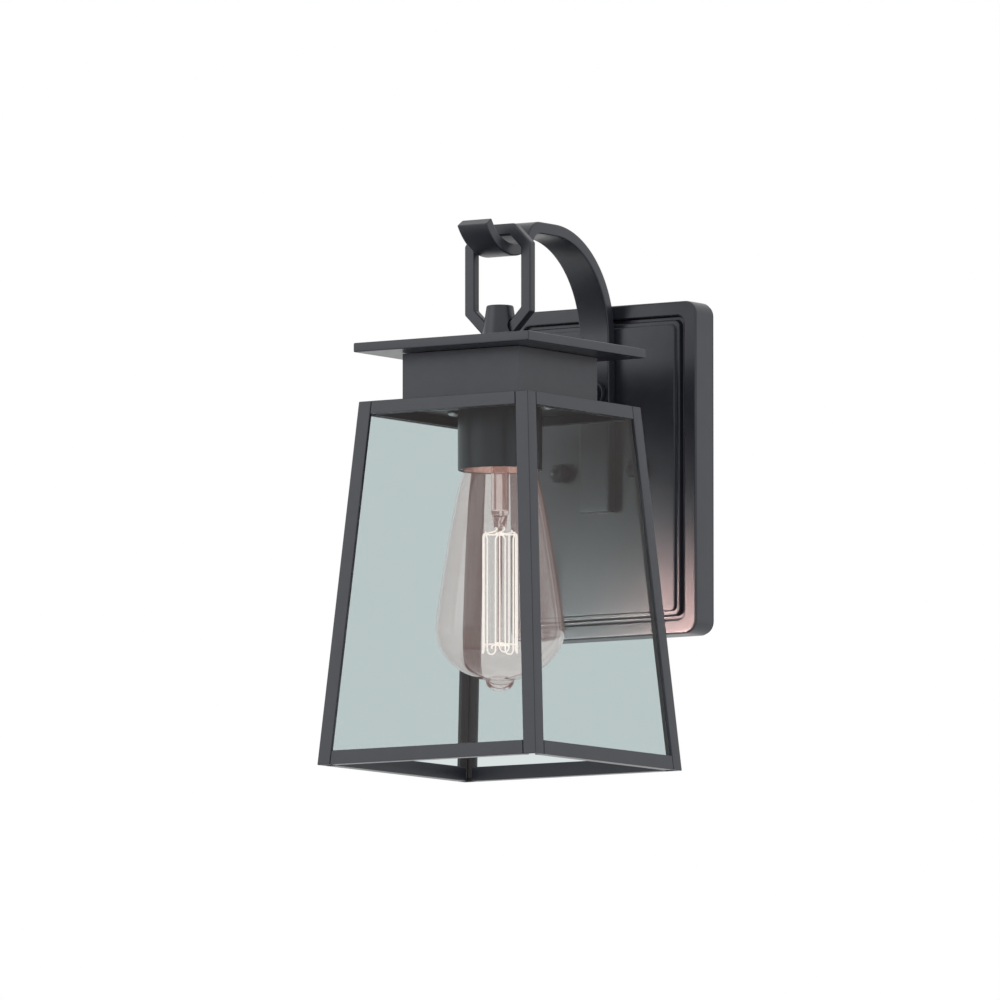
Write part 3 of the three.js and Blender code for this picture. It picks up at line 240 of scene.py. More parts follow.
def add_softbox(name, place, target, width, height, radiance, color, beam=180, only=()):
    """A rectangle of even light, narrowed to a beam angle in degrees, which may be kept for a few pieces."""
    lamp = bpy.data.lights.new(name, "AREA")
    lamp.shape = "RECTANGLE"
    lamp.size = width
    lamp.size_y = height
    lamp.spread = math.radians(beam)
    lamp.energy = radiance * math.pi * width * height
    lamp.color = color
    softbox = bpy.data.objects.new(name, lamp)
    softbox.location = place
    softbox.visible_camera = False
    aim(softbox, target)
    bpy.context.scene.collection.objects.link(softbox)
    if only:
        lit = bpy.data.collections.new(name + "_lights")
        for piece in only:
            lit.objects.link(piece)
        softbox.light_linking.receiver_collection = lit
        softbox.light_linking.blocker_collection = lit


def add_lights():
    """Soft key from the front left, and two gridded boxes mirrored in the lower half of the plate."""
    add_softbox("key", (-0.9, -1.4, 0.5), (0, AXIS_Y, 0), 1.2, 1.0, 0.9, (1.0, 1.0, 1.0))
    back = [bpy.data.objects[name + "_fine"] for name in (
        "wall_plate", "hook_arm", "cap_nut_left", "cap_washer_left")]
    add_softbox("plate_box", (-0.41, -0.51, -0.16), (-0.05, -PANEL_FRONT, -0.105), 0.13, 0.16, 1.35,
                (1.0, 0.91, 0.87), 14, back)
    add_softbox("warm_box", (-0.235, -0.45, -0.135), (0.047, -PANEL_FRONT, -0.08), 0.05, 0.05, 2.6,
                (1.0, 0.62, 0.54), 9, back)


def add_world():
    world = bpy.data.worlds.new("studio")
    world.use_nodes = True
    background = world.node_tree.nodes["Background"]
    background.inputs["Color"].default_value = (1, 1, 1, 1)
    background.inputs["Strength"].default_value = 1.0
    bpy.context.scene.world = world
    bpy.context.scene.cycles.transparent_max_bounces = 40   # panes and bulb, one behind the other


def add_floor():
    half = 12.0
    depth = -1.8
    mesh = bpy.data.meshes.new("floor")
    corners = [(-half, -half, depth), (half, -half, depth), (half, half, depth), (-half, half, depth)]
    mesh.from_pydata(corners, [], [(0, 1, 2, 3)])
    floor = bpy.data.objects.new("floor", mesh)
    material, _, shader = new_material("floor_paper")
    shader.inputs["Base Color"].default_value = (0.86, 0.86, 0.86, 1)
    shader.inputs["Roughness"].default_value = 0.9
    mesh.materials.append(material)
    bpy.context.scene.collection.objects.link(floor)


# ---- material helpers

def new_material(name):
    material = bpy.data.materials.new(name)
    material.use_nodes = True
    tree = material.node_tree
    return material, tree, tree.nodes["Principled BSDF"]


def place_coordinates(tree):
    return tree.nodes.new("ShaderNodeTexCoord").outputs["Object"]


def noise(tree, vector, scale, detail=4.0, roughness=0.55):
    node = tree.nodes.new("ShaderNodeTexNoise")
    node.inputs["Scale"].default_value = scale
    node.inputs["Detail"].default_value = detail
    node.inputs["Roughness"].default_value = roughness
    tree.links.new(vector, node.inputs["Vector"])
    return node.outputs["Fac"]


def ramp(tree, value, stops):
    """Colour ramp from (position, colour) stops."""
    node = tree.nodes.new("ShaderNodeValToRGB")
    elements = node.color_ramp.elements
    while len(elements) < len(stops):
        elements.new(0.5)
    for element, (position, color) in zip(elements, stops):
        element.position = position
        element.color = (*color, 1)
    tree.links.new(value, node.inputs["Fac"])
    return node.outputs["Color"]


def spread(tree, value, least, most):
    """A value from 0 to 1 spread over another range."""
    node = tree.nodes.new("ShaderNodeMapRange")
    node.inputs["To Min"].default_value = least
    node.inputs["To Max"].default_value = most
    tree.links.new(value, node.inputs["Value"])
    return node.outputs["Result"]


def bump(tree, height, shader, strength, distance, below=None):
    node = tree.nodes.new("ShaderNodeBump")
    node.inputs["Strength"].default_value = strength
    node.inputs["Distance"].default_value = distance
    tree.links.new(height, node.inputs["Height"])
    if below:
        tree.links.new(below, node.inputs["Normal"])
    tree.links.new(node.outputs["Normal"], shader.inputs["Normal"])
    return node.outputs["Normal"]


def mix_surfaces(tree, first, second):
    """Joins two closures at the output, and returns the socket that sets the second one's share."""
    mix = tree.nodes.new("ShaderNodeMixShader")
    tree.links.new(first.outputs["BSDF"], mix.inputs[1])
    tree.links.new(second.outputs["BSDF"], mix.inputs[2])
    tree.links.new(mix.outputs["Shader"], tree.nodes["Material Output"].inputs["Surface"])
    return mix.inputs["Fac"]


def surface_material(name, stops, color_scale, rough, rough_scale, bumps, metallic=0.0, gloss=1.5,
                     sheen=(1, 1, 1, 1)):
    """Principled finish: colour from one noise, roughness from another, bumps as a list of
    (noise scale, strength, height in metres), gloss as the refractive index and sheen its colour."""
    material, tree, shader = new_material(name)
    vector = place_coordinates(tree)
    shader.inputs["Metallic"].default_value = metallic
    shader.inputs["IOR"].default_value = gloss
    shader.inputs["Specular Tint"].default_value = sheen
    tree.links.new(ramp(tree, noise(tree, vector, color_scale), stops), shader.inputs["Base Color"])
    tree.links.new(spread(tree, noise(tree, vector, rough_scale), *rough), shader.inputs["Roughness"])
    below = None
    for scale, strength, distance in bumps:
        below = bump(tree, noise(tree, vector, scale), shader, strength, distance, below)
    return material


# ---- materials

def charcoal_paint():
    return surface_material(
        "charcoal_powder_coat", [(0.3, (0.0135, 0.0150, 0.0205)), (0.7, (0.0175, 0.0190, 0.0250))], 60,
        (0.27, 0.38), 220, [(900, 0.05, 0.00005), (260, 0.04, 0.0001)], gloss=1.54,
        sheen=(0.93, 0.95, 1.0, 1))


def zinc_steel():
    return surface_material(
        "zinc_plated_steel", [(0.3, (0.42, 0.43, 0.45)), (0.7, (0.58, 0.58, 0.56))], 180,
        (0.3, 0.5), 500, [(1200, 0.08, 0.00004)], metallic=1.0)


def black_rubber():
    return surface_material(
        "black_rubber", [(0.3, (0.012, 0.012, 0.012)), (0.7, (0.022, 0.022, 0.021))], 300,
        (0.7, 0.9), 400, [(1600, 0.25, 0.00008)])


def copper_metal():
    return surface_material(
        "copper_sheet", [(0.3, (0.92, 0.62, 0.53)), (0.7, (0.96, 0.74, 0.66))], 140,
        (0.12, 0.3), 600, [(900, 0.06, 0.00004)], metallic=1.0)


def brass_metal():
    return surface_material(
        "brass_sheet", [(0.3, (0.78, 0.58, 0.26)), (0.7, (0.86, 0.69, 0.38))], 140,
        (0.15, 0.32), 600, [(900, 0.06, 0.00004)], metallic=1.0)


def white_porcelain():
    return surface_material(
        "glazed_porcelain", [(0.3, (0.72, 0.70, 0.65)), (0.7, (0.80, 0.79, 0.75))], 90,
        (0.1, 0.22), 200, [(300, 0.05, 0.0001)])


def black_insulator():
    return surface_material(
        "black_glass_insulator", [(0.3, (0.008, 0.007, 0.010)), (0.7, (0.016, 0.014, 0.020))], 200,
        (0.1, 0.25), 500, [(500, 0.1, 0.00008)])


def filament_wire():
    """Pale wire with a faint painted warm-white glow that keeps it bright."""
    material = surface_material(
        "tungsten_wire", [(0.3, (0.70, 0.64, 0.60)), (0.7, (0.86, 0.80, 0.76))], 900,
        (0.25, 0.4), 2000, [(4000, 0.2, 0.00002)], metallic=0.6)
    shader = material.node_tree.nodes["Principled BSDF"]
    # painted glow: the wire emits a faint warm white of its own
    shader.inputs["Emission Color"].default_value = (1.0, 0.94, 0.88, 1)
    shader.inputs["Emission Strength"].default_value = 0.9
    return material


def ground_green():
    return surface_material(
        "green_dyed_zinc", [(0.3, (0.030, 0.20, 0.065)), (0.7, (0.045, 0.28, 0.09))], 300,
        (0.25, 0.4), 500, [(1200, 0.08, 0.00004)], metallic=0.6)


def black_insulation():
    return surface_material(
        "black_lead_sleeve", [(0.3, (0.012, 0.012, 0.013)), (0.7, (0.020, 0.020, 0.021))], 200,
        (0.4, 0.55), 500, [(700, 0.1, 0.00005)])


def white_insulation():
    return surface_material(
        "white_lead_sleeve", [(0.3, (0.66, 0.65, 0.62)), (0.7, (0.76, 0.75, 0.72))], 200,
        (0.4, 0.55), 500, [(700, 0.1, 0.00005)])


PANE_PAINTED_VEIL = 0.05   # share of the painted glow, standing in for stray light, in a pane


def pane_glass():
    """Pale blue-green flat glass: see-through, with a faint even painted glow that stands in for stray light
    reflected in it.
    """
    material, tree, shader = new_material("pale_flat_glass")
    vector = place_coordinates(tree)
    painted_veil = ramp(tree, noise(tree, vector, 9, 2), [(0.3, (0.25, 0.215, 0.205)), (0.7, (0.28, 0.24, 0.23))])
    # painted reflection: the veil is emission, a faint warm glow painted into the pane in place of the light
    # it would reflect
    tree.links.new(painted_veil, shader.inputs["Emission Color"])
    shader.inputs["Emission Strength"].default_value = 1.0
    shader.inputs["Base Color"].default_value = (0, 0, 0, 1)
    tree.links.new(spread(tree, noise(tree, vector, 30, 2), 0.2, 0.3), shader.inputs["Roughness"])
    shader.inputs["Specular IOR Level"].default_value = 0.0
    clear = tree.nodes.new("ShaderNodeBsdfTransparent")
    clear.inputs["Color"].default_value = (0.861, 0.897, 0.898, 1)
    mix_surfaces(tree, clear, shader).default_value = PANE_PAINTED_VEIL
    return material


def bulb_clear_glass():
    """Blown lamp glass, faintly warm in tint and with a faint painted pink glow, that lets the lamps' light
    through to the filament.
    """
    material, tree, shader = new_material("blown_lamp_glass")
    vector = place_coordinates(tree)
    tint = ramp(tree, noise(tree, vector, 14, 2), [(0.3, (0.93, 0.885, 0.875)), (0.7, (0.965, 0.93, 0.92))])
    tree.links.new(tint, shader.inputs["Base Color"])
    shader.inputs["Transmission Weight"].default_value = 1.0
    shader.inputs["Roughness"].default_value = 0.0
    shader.inputs["IOR"].default_value = 1.47
    # painted glow: a faint pink emission in the glass itself, standing in for warm light on the bulb
    shader.inputs["Emission Color"].default_value = (1.0, 0.52, 0.46, 1)
    shader.inputs["Emission Strength"].default_value = 0.035
    bump(tree, noise(tree, vector, 40, 1), shader, 0.08, 0.0003)
    clear = tree.nodes.new("ShaderNodeBsdfTransparent")
    clear.inputs["Color"].default_value = (0.95, 0.93, 0.92, 1)
    path = tree.nodes.new("ShaderNodeLightPath")
    tree.links.new(path.outputs["Is Shadow Ray"], mix_surfaces(tree, shader, clear))
    return material


MATERIALS = {make.__name__: make() for make in (
    charcoal_paint, zinc_steel, black_rubber, pane_glass, bulb_clear_glass, white_porcelain, copper_metal,
    brass_metal, black_insulator, filament_wire, ground_green, black_insulation, white_insulation)}


# ---- mesh helpers

def to_mesh(name, bm):
    bmesh.ops.recalc_face_normals(bm, faces=bm.faces)
    mesh = bpy.data.meshes.new(name)
    bm.to_mesh(mesh)
    bm.free()
    return mesh


def bridge(bm, rings, closed=False):
    """Faces between neighbouring rings of points, then from the last to the first when closed, or over
    both ends when not. Returns the faces over the ends."""
    pairs = list(zip(rings, rings[1:]))
    if closed:
        pairs.append((rings[-1], rings[0]))
    for ring, other in pairs:
        for k in range(len(ring)):
            n = (k + 1) % len(ring)
            bm.faces.new((ring[k], ring[n], other[n], other[k]))
    return [] if closed else [bm.faces.new(rings[0]), bm.faces.new(rings[-1])]


def stand_for(node, mesh, crisp=True):
    """Adds a fine piece that stands for a CAD node, riding where it rides, in its finish."""
    piece = bpy.data.objects.new(node + "_fine", mesh)
    mesh.materials.clear()
    mesh.materials.append(MATERIALS[SLOT_OF[node]])
    mesh.shade_smooth()
    bpy.context.scene.collection.objects.link(piece)
    if crisp:
        weighted = piece.modifiers.new("weighted", "WEIGHTED_NORMAL")
        weighted.weight = 100
    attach(piece, BODY_OF[node])
    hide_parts(node)
    return piece


def soften(bm, width, angle=30, segments=2):
    """Bevels every edge sharper than an angle in degrees."""
    limit = math.radians(angle)
    edges = [e for e in bm.edges if len(e.link_faces) == 2 and e.calc_face_angle() > limit]
    bmesh.ops.bevel(bm, geom=edges, offset=width, offset_type="OFFSET", segments=segments,
                    profile=0.5, affect="EDGES", clamp_overlap=True)


def softened(node, width, angle=30):
    """A copy of a CAD node with merged flat faces and rounded edges."""
    bm = bmesh.new()
    bm.from_mesh(frame["nodes"][node].data)
    bmesh.ops.remove_doubles(bm, verts=bm.verts, dist=1e-6)
    bmesh.ops.dissolve_limit(bm, angle_limit=math.radians(1), verts=bm.verts, edges=bm.edges)
    soften(bm, width, angle)
    return to_mesh(node, bm)


def stand_softened(node, width, angle=30):
    stand_for(node, softened(node, width, angle))


def rounded(points, radius, steps=3):
    """Closed outline with each corner turned into a small arc; a corner is (a, b) for the usual
    radius or (a, b, own radius)."""
    result = []
    count = len(points)
    for i, corner in enumerate(points):
        here = Vector(corner[:2])
        turn = corner[2] if len(corner) == 3 else radius
        before = Vector(points[i - 1][:2]) - here
        after = Vector(points[(i + 1) % count][:2]) - here
        reach = min(turn, 0.45 * before.length, 0.45 * after.length)
        if reach < 1e-7:
            result.append(tuple(here))
            continue
        start = here + before.normalized() * reach
        end = here + after.normalized() * reach
        for k in range(steps + 1):
            t = k / steps
            result.append(tuple((1 - t) ** 2 * start + 2 * t * (1 - t) * here + t * t * end))
    return result


def lathe(name, outline, segments=MEDIUM, matrix=ON_AXIS):
    """Closed mesh from a closed outline of (radius, height) turned about Z."""
    bm = bmesh.new()
    rings = []
    for radius, height in outline:
        if radius < 1e-7:
            rings.append([bm.verts.new((0, 0, height))])
            continue
        rings.append([bm.verts.new((x, y, height)) for x, y in regular(segments, radius)])
    for i, ring in enumerate(rings):
        other = rings[(i + 1) % len(rings)]
        if len(ring) == 1 and len(other) == 1:
            continue
        for k in range(segments):
            n = (k + 1) % segments
            if len(ring) == 1:
                bm.faces.new((ring[0], other[k], other[n]))
            elif len(other) == 1:
                bm.faces.new((ring[k], other[0], ring[n]))
            else:
                bm.faces.new((ring[k], other[k], other[n], ring[n]))
    bm.transform(matrix)
    return to_mesh(name, bm)


def disc_outline(radius, bottom, top, bore=0.0, edge=0.3 * MM):
    """Outline of a plain round bar or, with a bore, of a ring."""
    if bore:
        return rounded([(bore, bottom), (radius, bottom), (radius, top), (bore, top)], edge)
    return rounded([(0, bottom, 0), (radius, bottom), (radius, top), (0, top, 0)], edge)


def boolean(mesh, operation, *tools):
    """Cuts or joins meshes and returns the result as a new mesh."""
    scene = bpy.context.scene.collection.objects
    body = bpy.data.objects.new("body", mesh)
    scene.link(body)
    others = []
    for tool in tools:
        other = bpy.data.objects.new("tool", tool)
        scene.link(other)
        others.append(other)
        modifier = body.modifiers.new("boolean", "BOOLEAN")
        modifier.operation = operation
        modifier.solver = "EXACT"
        modifier.object = other
    graph = bpy.context.evaluated_depsgraph_get()
    result = bpy.data.meshes.new_from_object(body.evaluated_get(graph))
    for thing in [body, *others]:
        bpy.data.objects.remove(thing)
    return result


def prism(name, outline, bottom, top, matrix=UNMOVED):
    """Straight block on an outline of (x, y) points."""
    bm = bmesh.new()
    lower = [bm.verts.new((x, y, bottom)) for x, y in outline]
    upper = [bm.verts.new((x, y, top)) for x, y in outline]
    bm.faces.new(lower)
    bm.faces.new(upper)
    for i in range(len(outline)):
        j = (i + 1) % len(outline)
        bm.faces.new((lower[i], lower[j], upper[j], upper[i]))
    bm.transform(matrix)
    return to_mesh(name, bm)


def regular(sides, radius):
    return [(radius * math.cos(2 * math.pi * k / sides), radius * math.sin(2 * math.pi * k / sides))
            for k in range(sides)]


def rectangle(half_width, half_height):
    return [(-half_width, -half_height), (half_width, -half_height),
            (half_width, half_height), (-half_width, half_height)]


def edged(mesh, width, angle=30):
    """The same mesh with its sharp edges rounded."""
    bm = bmesh.new()
    bm.from_mesh(mesh)
    bmesh.ops.remove_doubles(bm, verts=bm.verts, dist=1e-7)
    soften(bm, width, angle)
    return to_mesh(mesh.name, bm)


def bar_along(name, points, section):
    """Sweeps a section (across, up) along 3-D points, keeping it from twisting."""
    bm = bmesh.new()
    tangents = []
    for i in range(len(points)):
        before = points[max(i - 1, 0)]
        after = points[min(i + 1, len(points) - 1)]
        tangents.append((after - before).normalized())
    side = tangents[0].orthogonal().normalized()
    rings = []
    for point, tangent in zip(points, tangents):
        side = (side - tangent * side.dot(tangent)).normalized()
        up = tangent.cross(side)
        rings.append([bm.verts.new(point + side * a + up * b) for a, b in section])
    bridge(bm, rings)
    return to_mesh(name, bm)


def smooth_path(corners, steps, tension=0.5):
    """Catmull-Rom curve through 3-D points."""
    points = [Vector(corner) for corner in corners]
    result = []
    for i in range(len(points) - 1):
        p1, p2 = points[i], points[i + 1]
        p0 = points[i - 1] if i else 2 * p1 - p2
        p3 = points[i + 2] if i + 2 < len(points) else 2 * p2 - p1
        m1 = (p2 - p0) * tension
        m2 = (p3 - p1) * tension
        for k in range(steps):
            t = k / steps
            t2, t3 = t * t, t * t * t
            result.append((2 * t3 - 3 * t2 + 1) * p1 + (t3 - 2 * t2 + t) * m1
                          + (3 * t2 - 2 * t3) * p2 + (t3 - t2) * m2)
    result.append(points[-1])
    return result


def arc_points(centre, radius, start, stop, steps):
    """Points (a, b) along an arc, both ends included."""
    return [(centre[0] + radius * math.cos(start + (stop - start) * k / steps),
             centre[1] + radius * math.sin(start + (stop - start) * k / steps)) for k in range(steps + 1)]


def round_hole(radius, near, far, x, z):
    """Cutter square to the wall, between two distances in front of it."""
    matrix = Matrix.Translation((x, 0, z)) @ OUT_OF_WALL
    return prism("hole", regular(SMALL, radius), near, far, matrix)


# ---- wall plate and its fixings

def rectangle_ring(width, height, corner, steps=8):
    """Rounded rectangle as (x, z) points, the same number for every size."""
    points = []
    for quadrant, (sx, sz) in enumerate(((1, 1), (-1, 1), (-1, -1), (1, -1))):
        centre = (sx * (width / 2 - corner), sz * (height / 2 - corner))
        points += arc_points(centre, corner, quadrant * QUARTER, (quadrant + 1) * QUARTER, steps)
    return points


def framed_shell(name, width, height, profile, capped=False):
    """Lofts a rounded rectangle through (inset, distance from the wall, corner radius) steps."""
    bm = bmesh.new()
    rings = []
    for inset, distance, corner in profile:
        outline = rectangle_ring(width - 2 * inset, height - 2 * inset, corner)
        rings.append([bm.verts.new((x, -distance, z)) for x, z in outline])
    bridge(bm, rings, closed=not capped)
    return to_mesh(name, bm)


def plate_profile():
    """From the middle of the back, round the outside and the moulding, to the raised panel."""
    back = -high("wall_plate").y
    rim = PANEL_FRONT - RIM_STEP
    groove = rim - GROOVE_DEPTH
    ledge = PANEL_FRONT - LEDGE_DROP
    panel = RIM_WIDTH + GROOVE_WIDTH
    bead = panel - LEDGE_WIDTH
    outside = rounded([
        (PLATE_SHEET, back, 0), (0, back, 0.2 * MM), (0, rim, PLATE_EDGE), (RIM_WIDTH, rim, 0.7 * MM),
        (RIM_WIDTH + 0.3 * MM, groove, 0.5 * MM), (bead - 0.3 * MM, groove, 0.5 * MM),
        (bead, ledge, 0.5 * MM), (panel, ledge, 0.25 * MM), (panel, PANEL_FRONT, 0.9 * MM),
        (panel + 6 * MM, PANEL_FRONT, 0)], 0, 4)
    inside_rim = groove - PLATE_SHEET
    inside = [(panel + 6 * MM, PANEL_BACK), (panel + PLATE_SHEET, PANEL_BACK),
              (panel + PLATE_SHEET, inside_rim), (PLATE_SHEET, inside_rim)]
    return outside, inside


def corner_at(inset):
    """Corner radius of the plate's outline at an inset from its edge."""
    panel = RIM_WIDTH + GROOVE_WIDTH
    share = min(inset / panel, 1)
    return PLATE_CORNER + (PANEL_CORNER - PLATE_CORNER) * share


def wall_plate():
    outside, inside = plate_profile()
    size = high("wall_plate") - low("wall_plate")
    steps = [(inset, distance, corner_at(inset)) for inset, distance in outside]
    front = framed_shell("wall_plate", size.x, size.z, steps, capped=True)
    hollow = [(inset, distance, max(corner_at(inset) - PLATE_SHEET, 1 * MM)) for inset, distance in inside]
    hollow.append((PLATE_SHEET, -high("wall_plate").y - 3 * MM, hollow[-1][2]))
    cavity = framed_shell("cavity", size.x, size.z, hollow, capped=True)
    span = (PANEL_BACK - 2 * MM, PANEL_FRONT + 2 * MM)
    holes = [round_hole(TUBE_RADIUS + HOLE_PLAY, *span, 0, TUBE_Z)]
    for name in ARM_SCREWS:
        holes.append(round_hole(ARM_SCREW_RADIUS + HOLE_PLAY, *span, 0, middle(name).z))
    for side in (-1, 1):
        holes.append(round_hole(STUD_RADIUS + HOLE_PLAY, *span, side * STUD_SPACING / 2, 0))
    stand_for("wall_plate", boolean(front, "DIFFERENCE", cavity, *holes))


def wall_gasket():
    size = high("wall_gasket") - low("wall_gasket")
    depth = size.y
    outline = rounded([(0, 0), (0, depth), (GASKET_WIDTH, depth), (GASKET_WIDTH, 0)], 0.35 * MM)
    steps = [(inset, distance, GASKET_CORNER - inset / 2) for inset, distance in outline]
    stand_for("wall_gasket", framed_shell("wall_gasket", size.x, size.z, steps), crisp=False)


def corner_radius(flats):
    return flats / 2 / math.cos(math.pi / 6)


def hexagon_nut(node, flats, bore, axis_to_wall, chamfer=0.35 * MM):
    """Hexagon nut whose corners are turned down at both ends; it lies between its CAD box's ends."""
    centre = middle(node)
    length = (high(node) - low(node)).y if axis_to_wall else (high(node) - low(node)).z
    across = corner_radius(flats)
    half = length / 2
    body = prism(node, regular(6, across), -half, half)
    turned = lathe("turned", rounded([
        (0, -half - OVERCUT, 0), (flats / 2, -half - OVERCUT, 0), (across + 1e-4, -half + chamfer, 0),
        (across + 1e-4, half - chamfer, 0), (flats / 2, half + OVERCUT, 0), (0, half + OVERCUT, 0)], 0),
        MEDIUM, UNMOVED)
    cut = boolean(boolean(body, "INTERSECT", turned), "DIFFERENCE",
                  prism("bore", regular(SMALL, bore), -half - MM, half + MM))
    cut.transform(Matrix.Translation(centre) @ (OUT_OF_WALL if axis_to_wall else UNMOVED))
    stand_for(node, edged(cut, 0.12 * MM))


def threaded_outline(radius, start, stop, pitch, depth):
    """Outline points of a threaded bar from one height to another."""
    count = max(int((stop - start) / pitch * 2), 2)
    return [(radius - (depth if k % 2 else 0), start + (stop - start) * k / count) for k in range(count + 1)]


def stud(side):
    node = f"stud_{side}"
    bottom, top = wall_span(node)
    threads = threaded_outline(STUD_RADIUS, bottom + 0.3 * MM, top - 0.4 * MM, 0.7 * MM, 0.22 * MM)
    outline = [(0, bottom), (STUD_RADIUS - 0.3 * MM, bottom), *threads,
               (STUD_RADIUS - 0.5 * MM, top), (0, top)]
    matrix = square_to_wall(node)
    stand_for(node, lathe(node, outline, SMALL, matrix))


def cap_nut(side):
    """Hexagon foot with its front corners turned down to a dome, blind from behind."""
    node = f"cap_nut_{side}"
    near, far = wall_span(node)
    hex_far = near + CAP_NUT_HEXAGON
    flats = CAP_NUT_FLATS
    across = corner_radius(flats)
    hexagon = prism(node, regular(6, across), near, hex_far)
    outside = across + 0.2 * MM
    cone = lathe("cone", [(0, near - MM), (outside, near - MM), (outside, hex_far - 0.7 * MM),
                          (flats / 2 - 0.3 * MM, hex_far + OVERCUT), (0, hex_far + OVERCUT)], MEDIUM, UNMOVED)
    dome_radius = flats / 2 - 0.4 * MM
    dome = [(0, hex_far - MM), (dome_radius, hex_far - MM)]
    dome += [(dome_radius * math.cos(k * QUARTER / 8), hex_far + (far - hex_far) * math.sin(k * QUARTER / 8))
             for k in range(8)]
    dome.append((0, far))
    body = boolean(boolean(hexagon, "INTERSECT", cone), "UNION",
                   lathe("dome", dome, MEDIUM, UNMOVED))
    bore = prism("bore", regular(SMALL, STUD_RADIUS + HOLE_PLAY), near - MM, far - 1.6 * MM)
    cut = boolean(body, "DIFFERENCE", bore)
    cut.transform(square_to_wall(node))
    stand_for(node, edged(cut, 0.12 * MM))


def cap_washer(side):
    node = f"cap_washer_{side}"
    size = high(node) - low(node)
    outline = disc_outline(size.z / 2, *wall_span(node), STUD_RADIUS + HOLE_PLAY, 0.2 * MM)
    matrix = square_to_wall(node)
    stand_for(node, lathe(node, outline, SMALL, matrix), crisp=False)


def machine_screw(node, shaft_radius, head_radius, head_length, slot, matrix):
    """Domed head with a straight drive slot, and a threaded shaft. The screw is made with its head
    down, from 0 to its length, and then placed."""
    size = high(node) - low(node)
    length = max(size.y, size.z)
    threads = threaded_outline(shaft_radius, head_length + 0.3 * MM, length - 0.3 * MM, 0.6 * MM, 0.18 * MM)
    outline = [(0, 0), (0.55 * head_radius, 0.06 * head_length), (0.85 * head_radius, 0.28 * head_length),
               (head_radius, 0.62 * head_length), (head_radius, 0.94 * head_length),
               (head_radius - 0.1 * MM, head_length), (shaft_radius, head_length), *threads,
               (shaft_radius - 0.3 * MM, length), (0, length)]
    body = lathe(node, outline, SMALL, UNMOVED)
    cutter = prism("slot", rectangle(head_radius + MM, slot / 2), -MM, 0.45 * head_length)
    cut = boolean(body, "DIFFERENCE", cutter)
    cut.transform(matrix)
    stand_for(node, cut)


def plate_fixings():
    for side in ("left", "right"):
        stud(side)
        cap_nut(side)
        cap_washer(side)
        hexagon_nut(f"stud_nut_{side}", STUD_NUT_FLATS, STUD_RADIUS + NUT_FIT, True)
    for name in ARM_SCREWS:
        place = Matrix.Translation((0, high(name).y, middle(name).z)) @ OUT_OF_WALL
        machine_screw(name, ARM_SCREW_RADIUS, 3.6 * MM, 2.4 * MM, 0.8 * MM, place)
    stand_softened("mounting_bracket", 0.25 * MM, 40)
    ground_screw()


def ground_screw():
    node = "ground_screw"
    near, far = wall_span(node)
    head_near = far - 2.4 * MM
    across = corner_radius(7 * MM)
    hexagon = prism(node, regular(6, across), head_near, far)
    crown = lathe("crown", [(0, near - MM), (across + MM, near - MM), (across + 0.2 * MM, far - 0.5 * MM),
                            (3.2 * MM, far + OVERCUT), (0, far + OVERCUT)], MEDIUM, UNMOVED)
    shaft_threads = threaded_outline(1.8 * MM, near + 0.2 * MM, head_near + 0.4 * MM, 0.6 * MM, 0.15 * MM)
    shaft = lathe("shaft", [(0, near), (1.6 * MM, near), *shaft_threads, (0, head_near + 0.6 * MM)],
                  SMALL, UNMOVED)
    slot = prism("slot", rectangle(6 * MM, 0.4 * MM), far - 0.9 * MM, far + MM)
    body = boolean(boolean(hexagon, "INTERSECT", crown), "UNION", shaft)
    cut = boolean(body, "DIFFERENCE", slot)
    cut.transform(square_to_wall(node))
    stand_for(node, edged(cut, 0.1 * MM))


# ---- hooked arm, tube and link

def arm_line():
    """Centre line of the flat bar as (y, z) points, from the leg's foot to the hook's tip."""
    half = STRIP_THICKNESS / 2
    top = high("hook_arm").z
    valley = top - HOOK_DROP - half
    valley_y = AXIS_Y - VALLEY_AHEAD
    crest_z = top - half - CREST_RADIUS
    rise = valley + VALLEY_BACK_RADIUS - crest_z
    reach = VALLEY_BACK_RADIUS + CREST_RADIUS
    crest_y = valley_y + math.sqrt(reach * reach - rise * rise)
    slope = math.acos(rise / reach)
    arc_y = crest_y + ARM_FLAT
    arc_radius = -LEG_BACK - arc_y
    arc_z = top - arc_radius
    foot = low("hook_arm").z
    line = [(-LEG_BACK - half, foot + (arc_z - foot) * k / 12) for k in range(12)]
    line += arc_points((arc_y, arc_z), arc_radius - half, 0, QUARTER, 40)
    line += [(crest_y + ARM_FLAT * (1 - k / 4), top - half) for k in range(1, 4)]
    line += arc_points((crest_y, crest_z), CREST_RADIUS, QUARTER, QUARTER + slope, 16)
    line += arc_points((valley_y, valley + VALLEY_BACK_RADIUS), VALLEY_BACK_RADIUS,
                       slope - QUARTER, -QUARTER, 20)[1:]
    line += arc_points((valley_y, valley + VALLEY_FRONT_RADIUS), VALLEY_FRONT_RADIUS,
                       -QUARTER, -QUARTER - HOOK_TIP_ANGLE, 26)[1:]
    return line


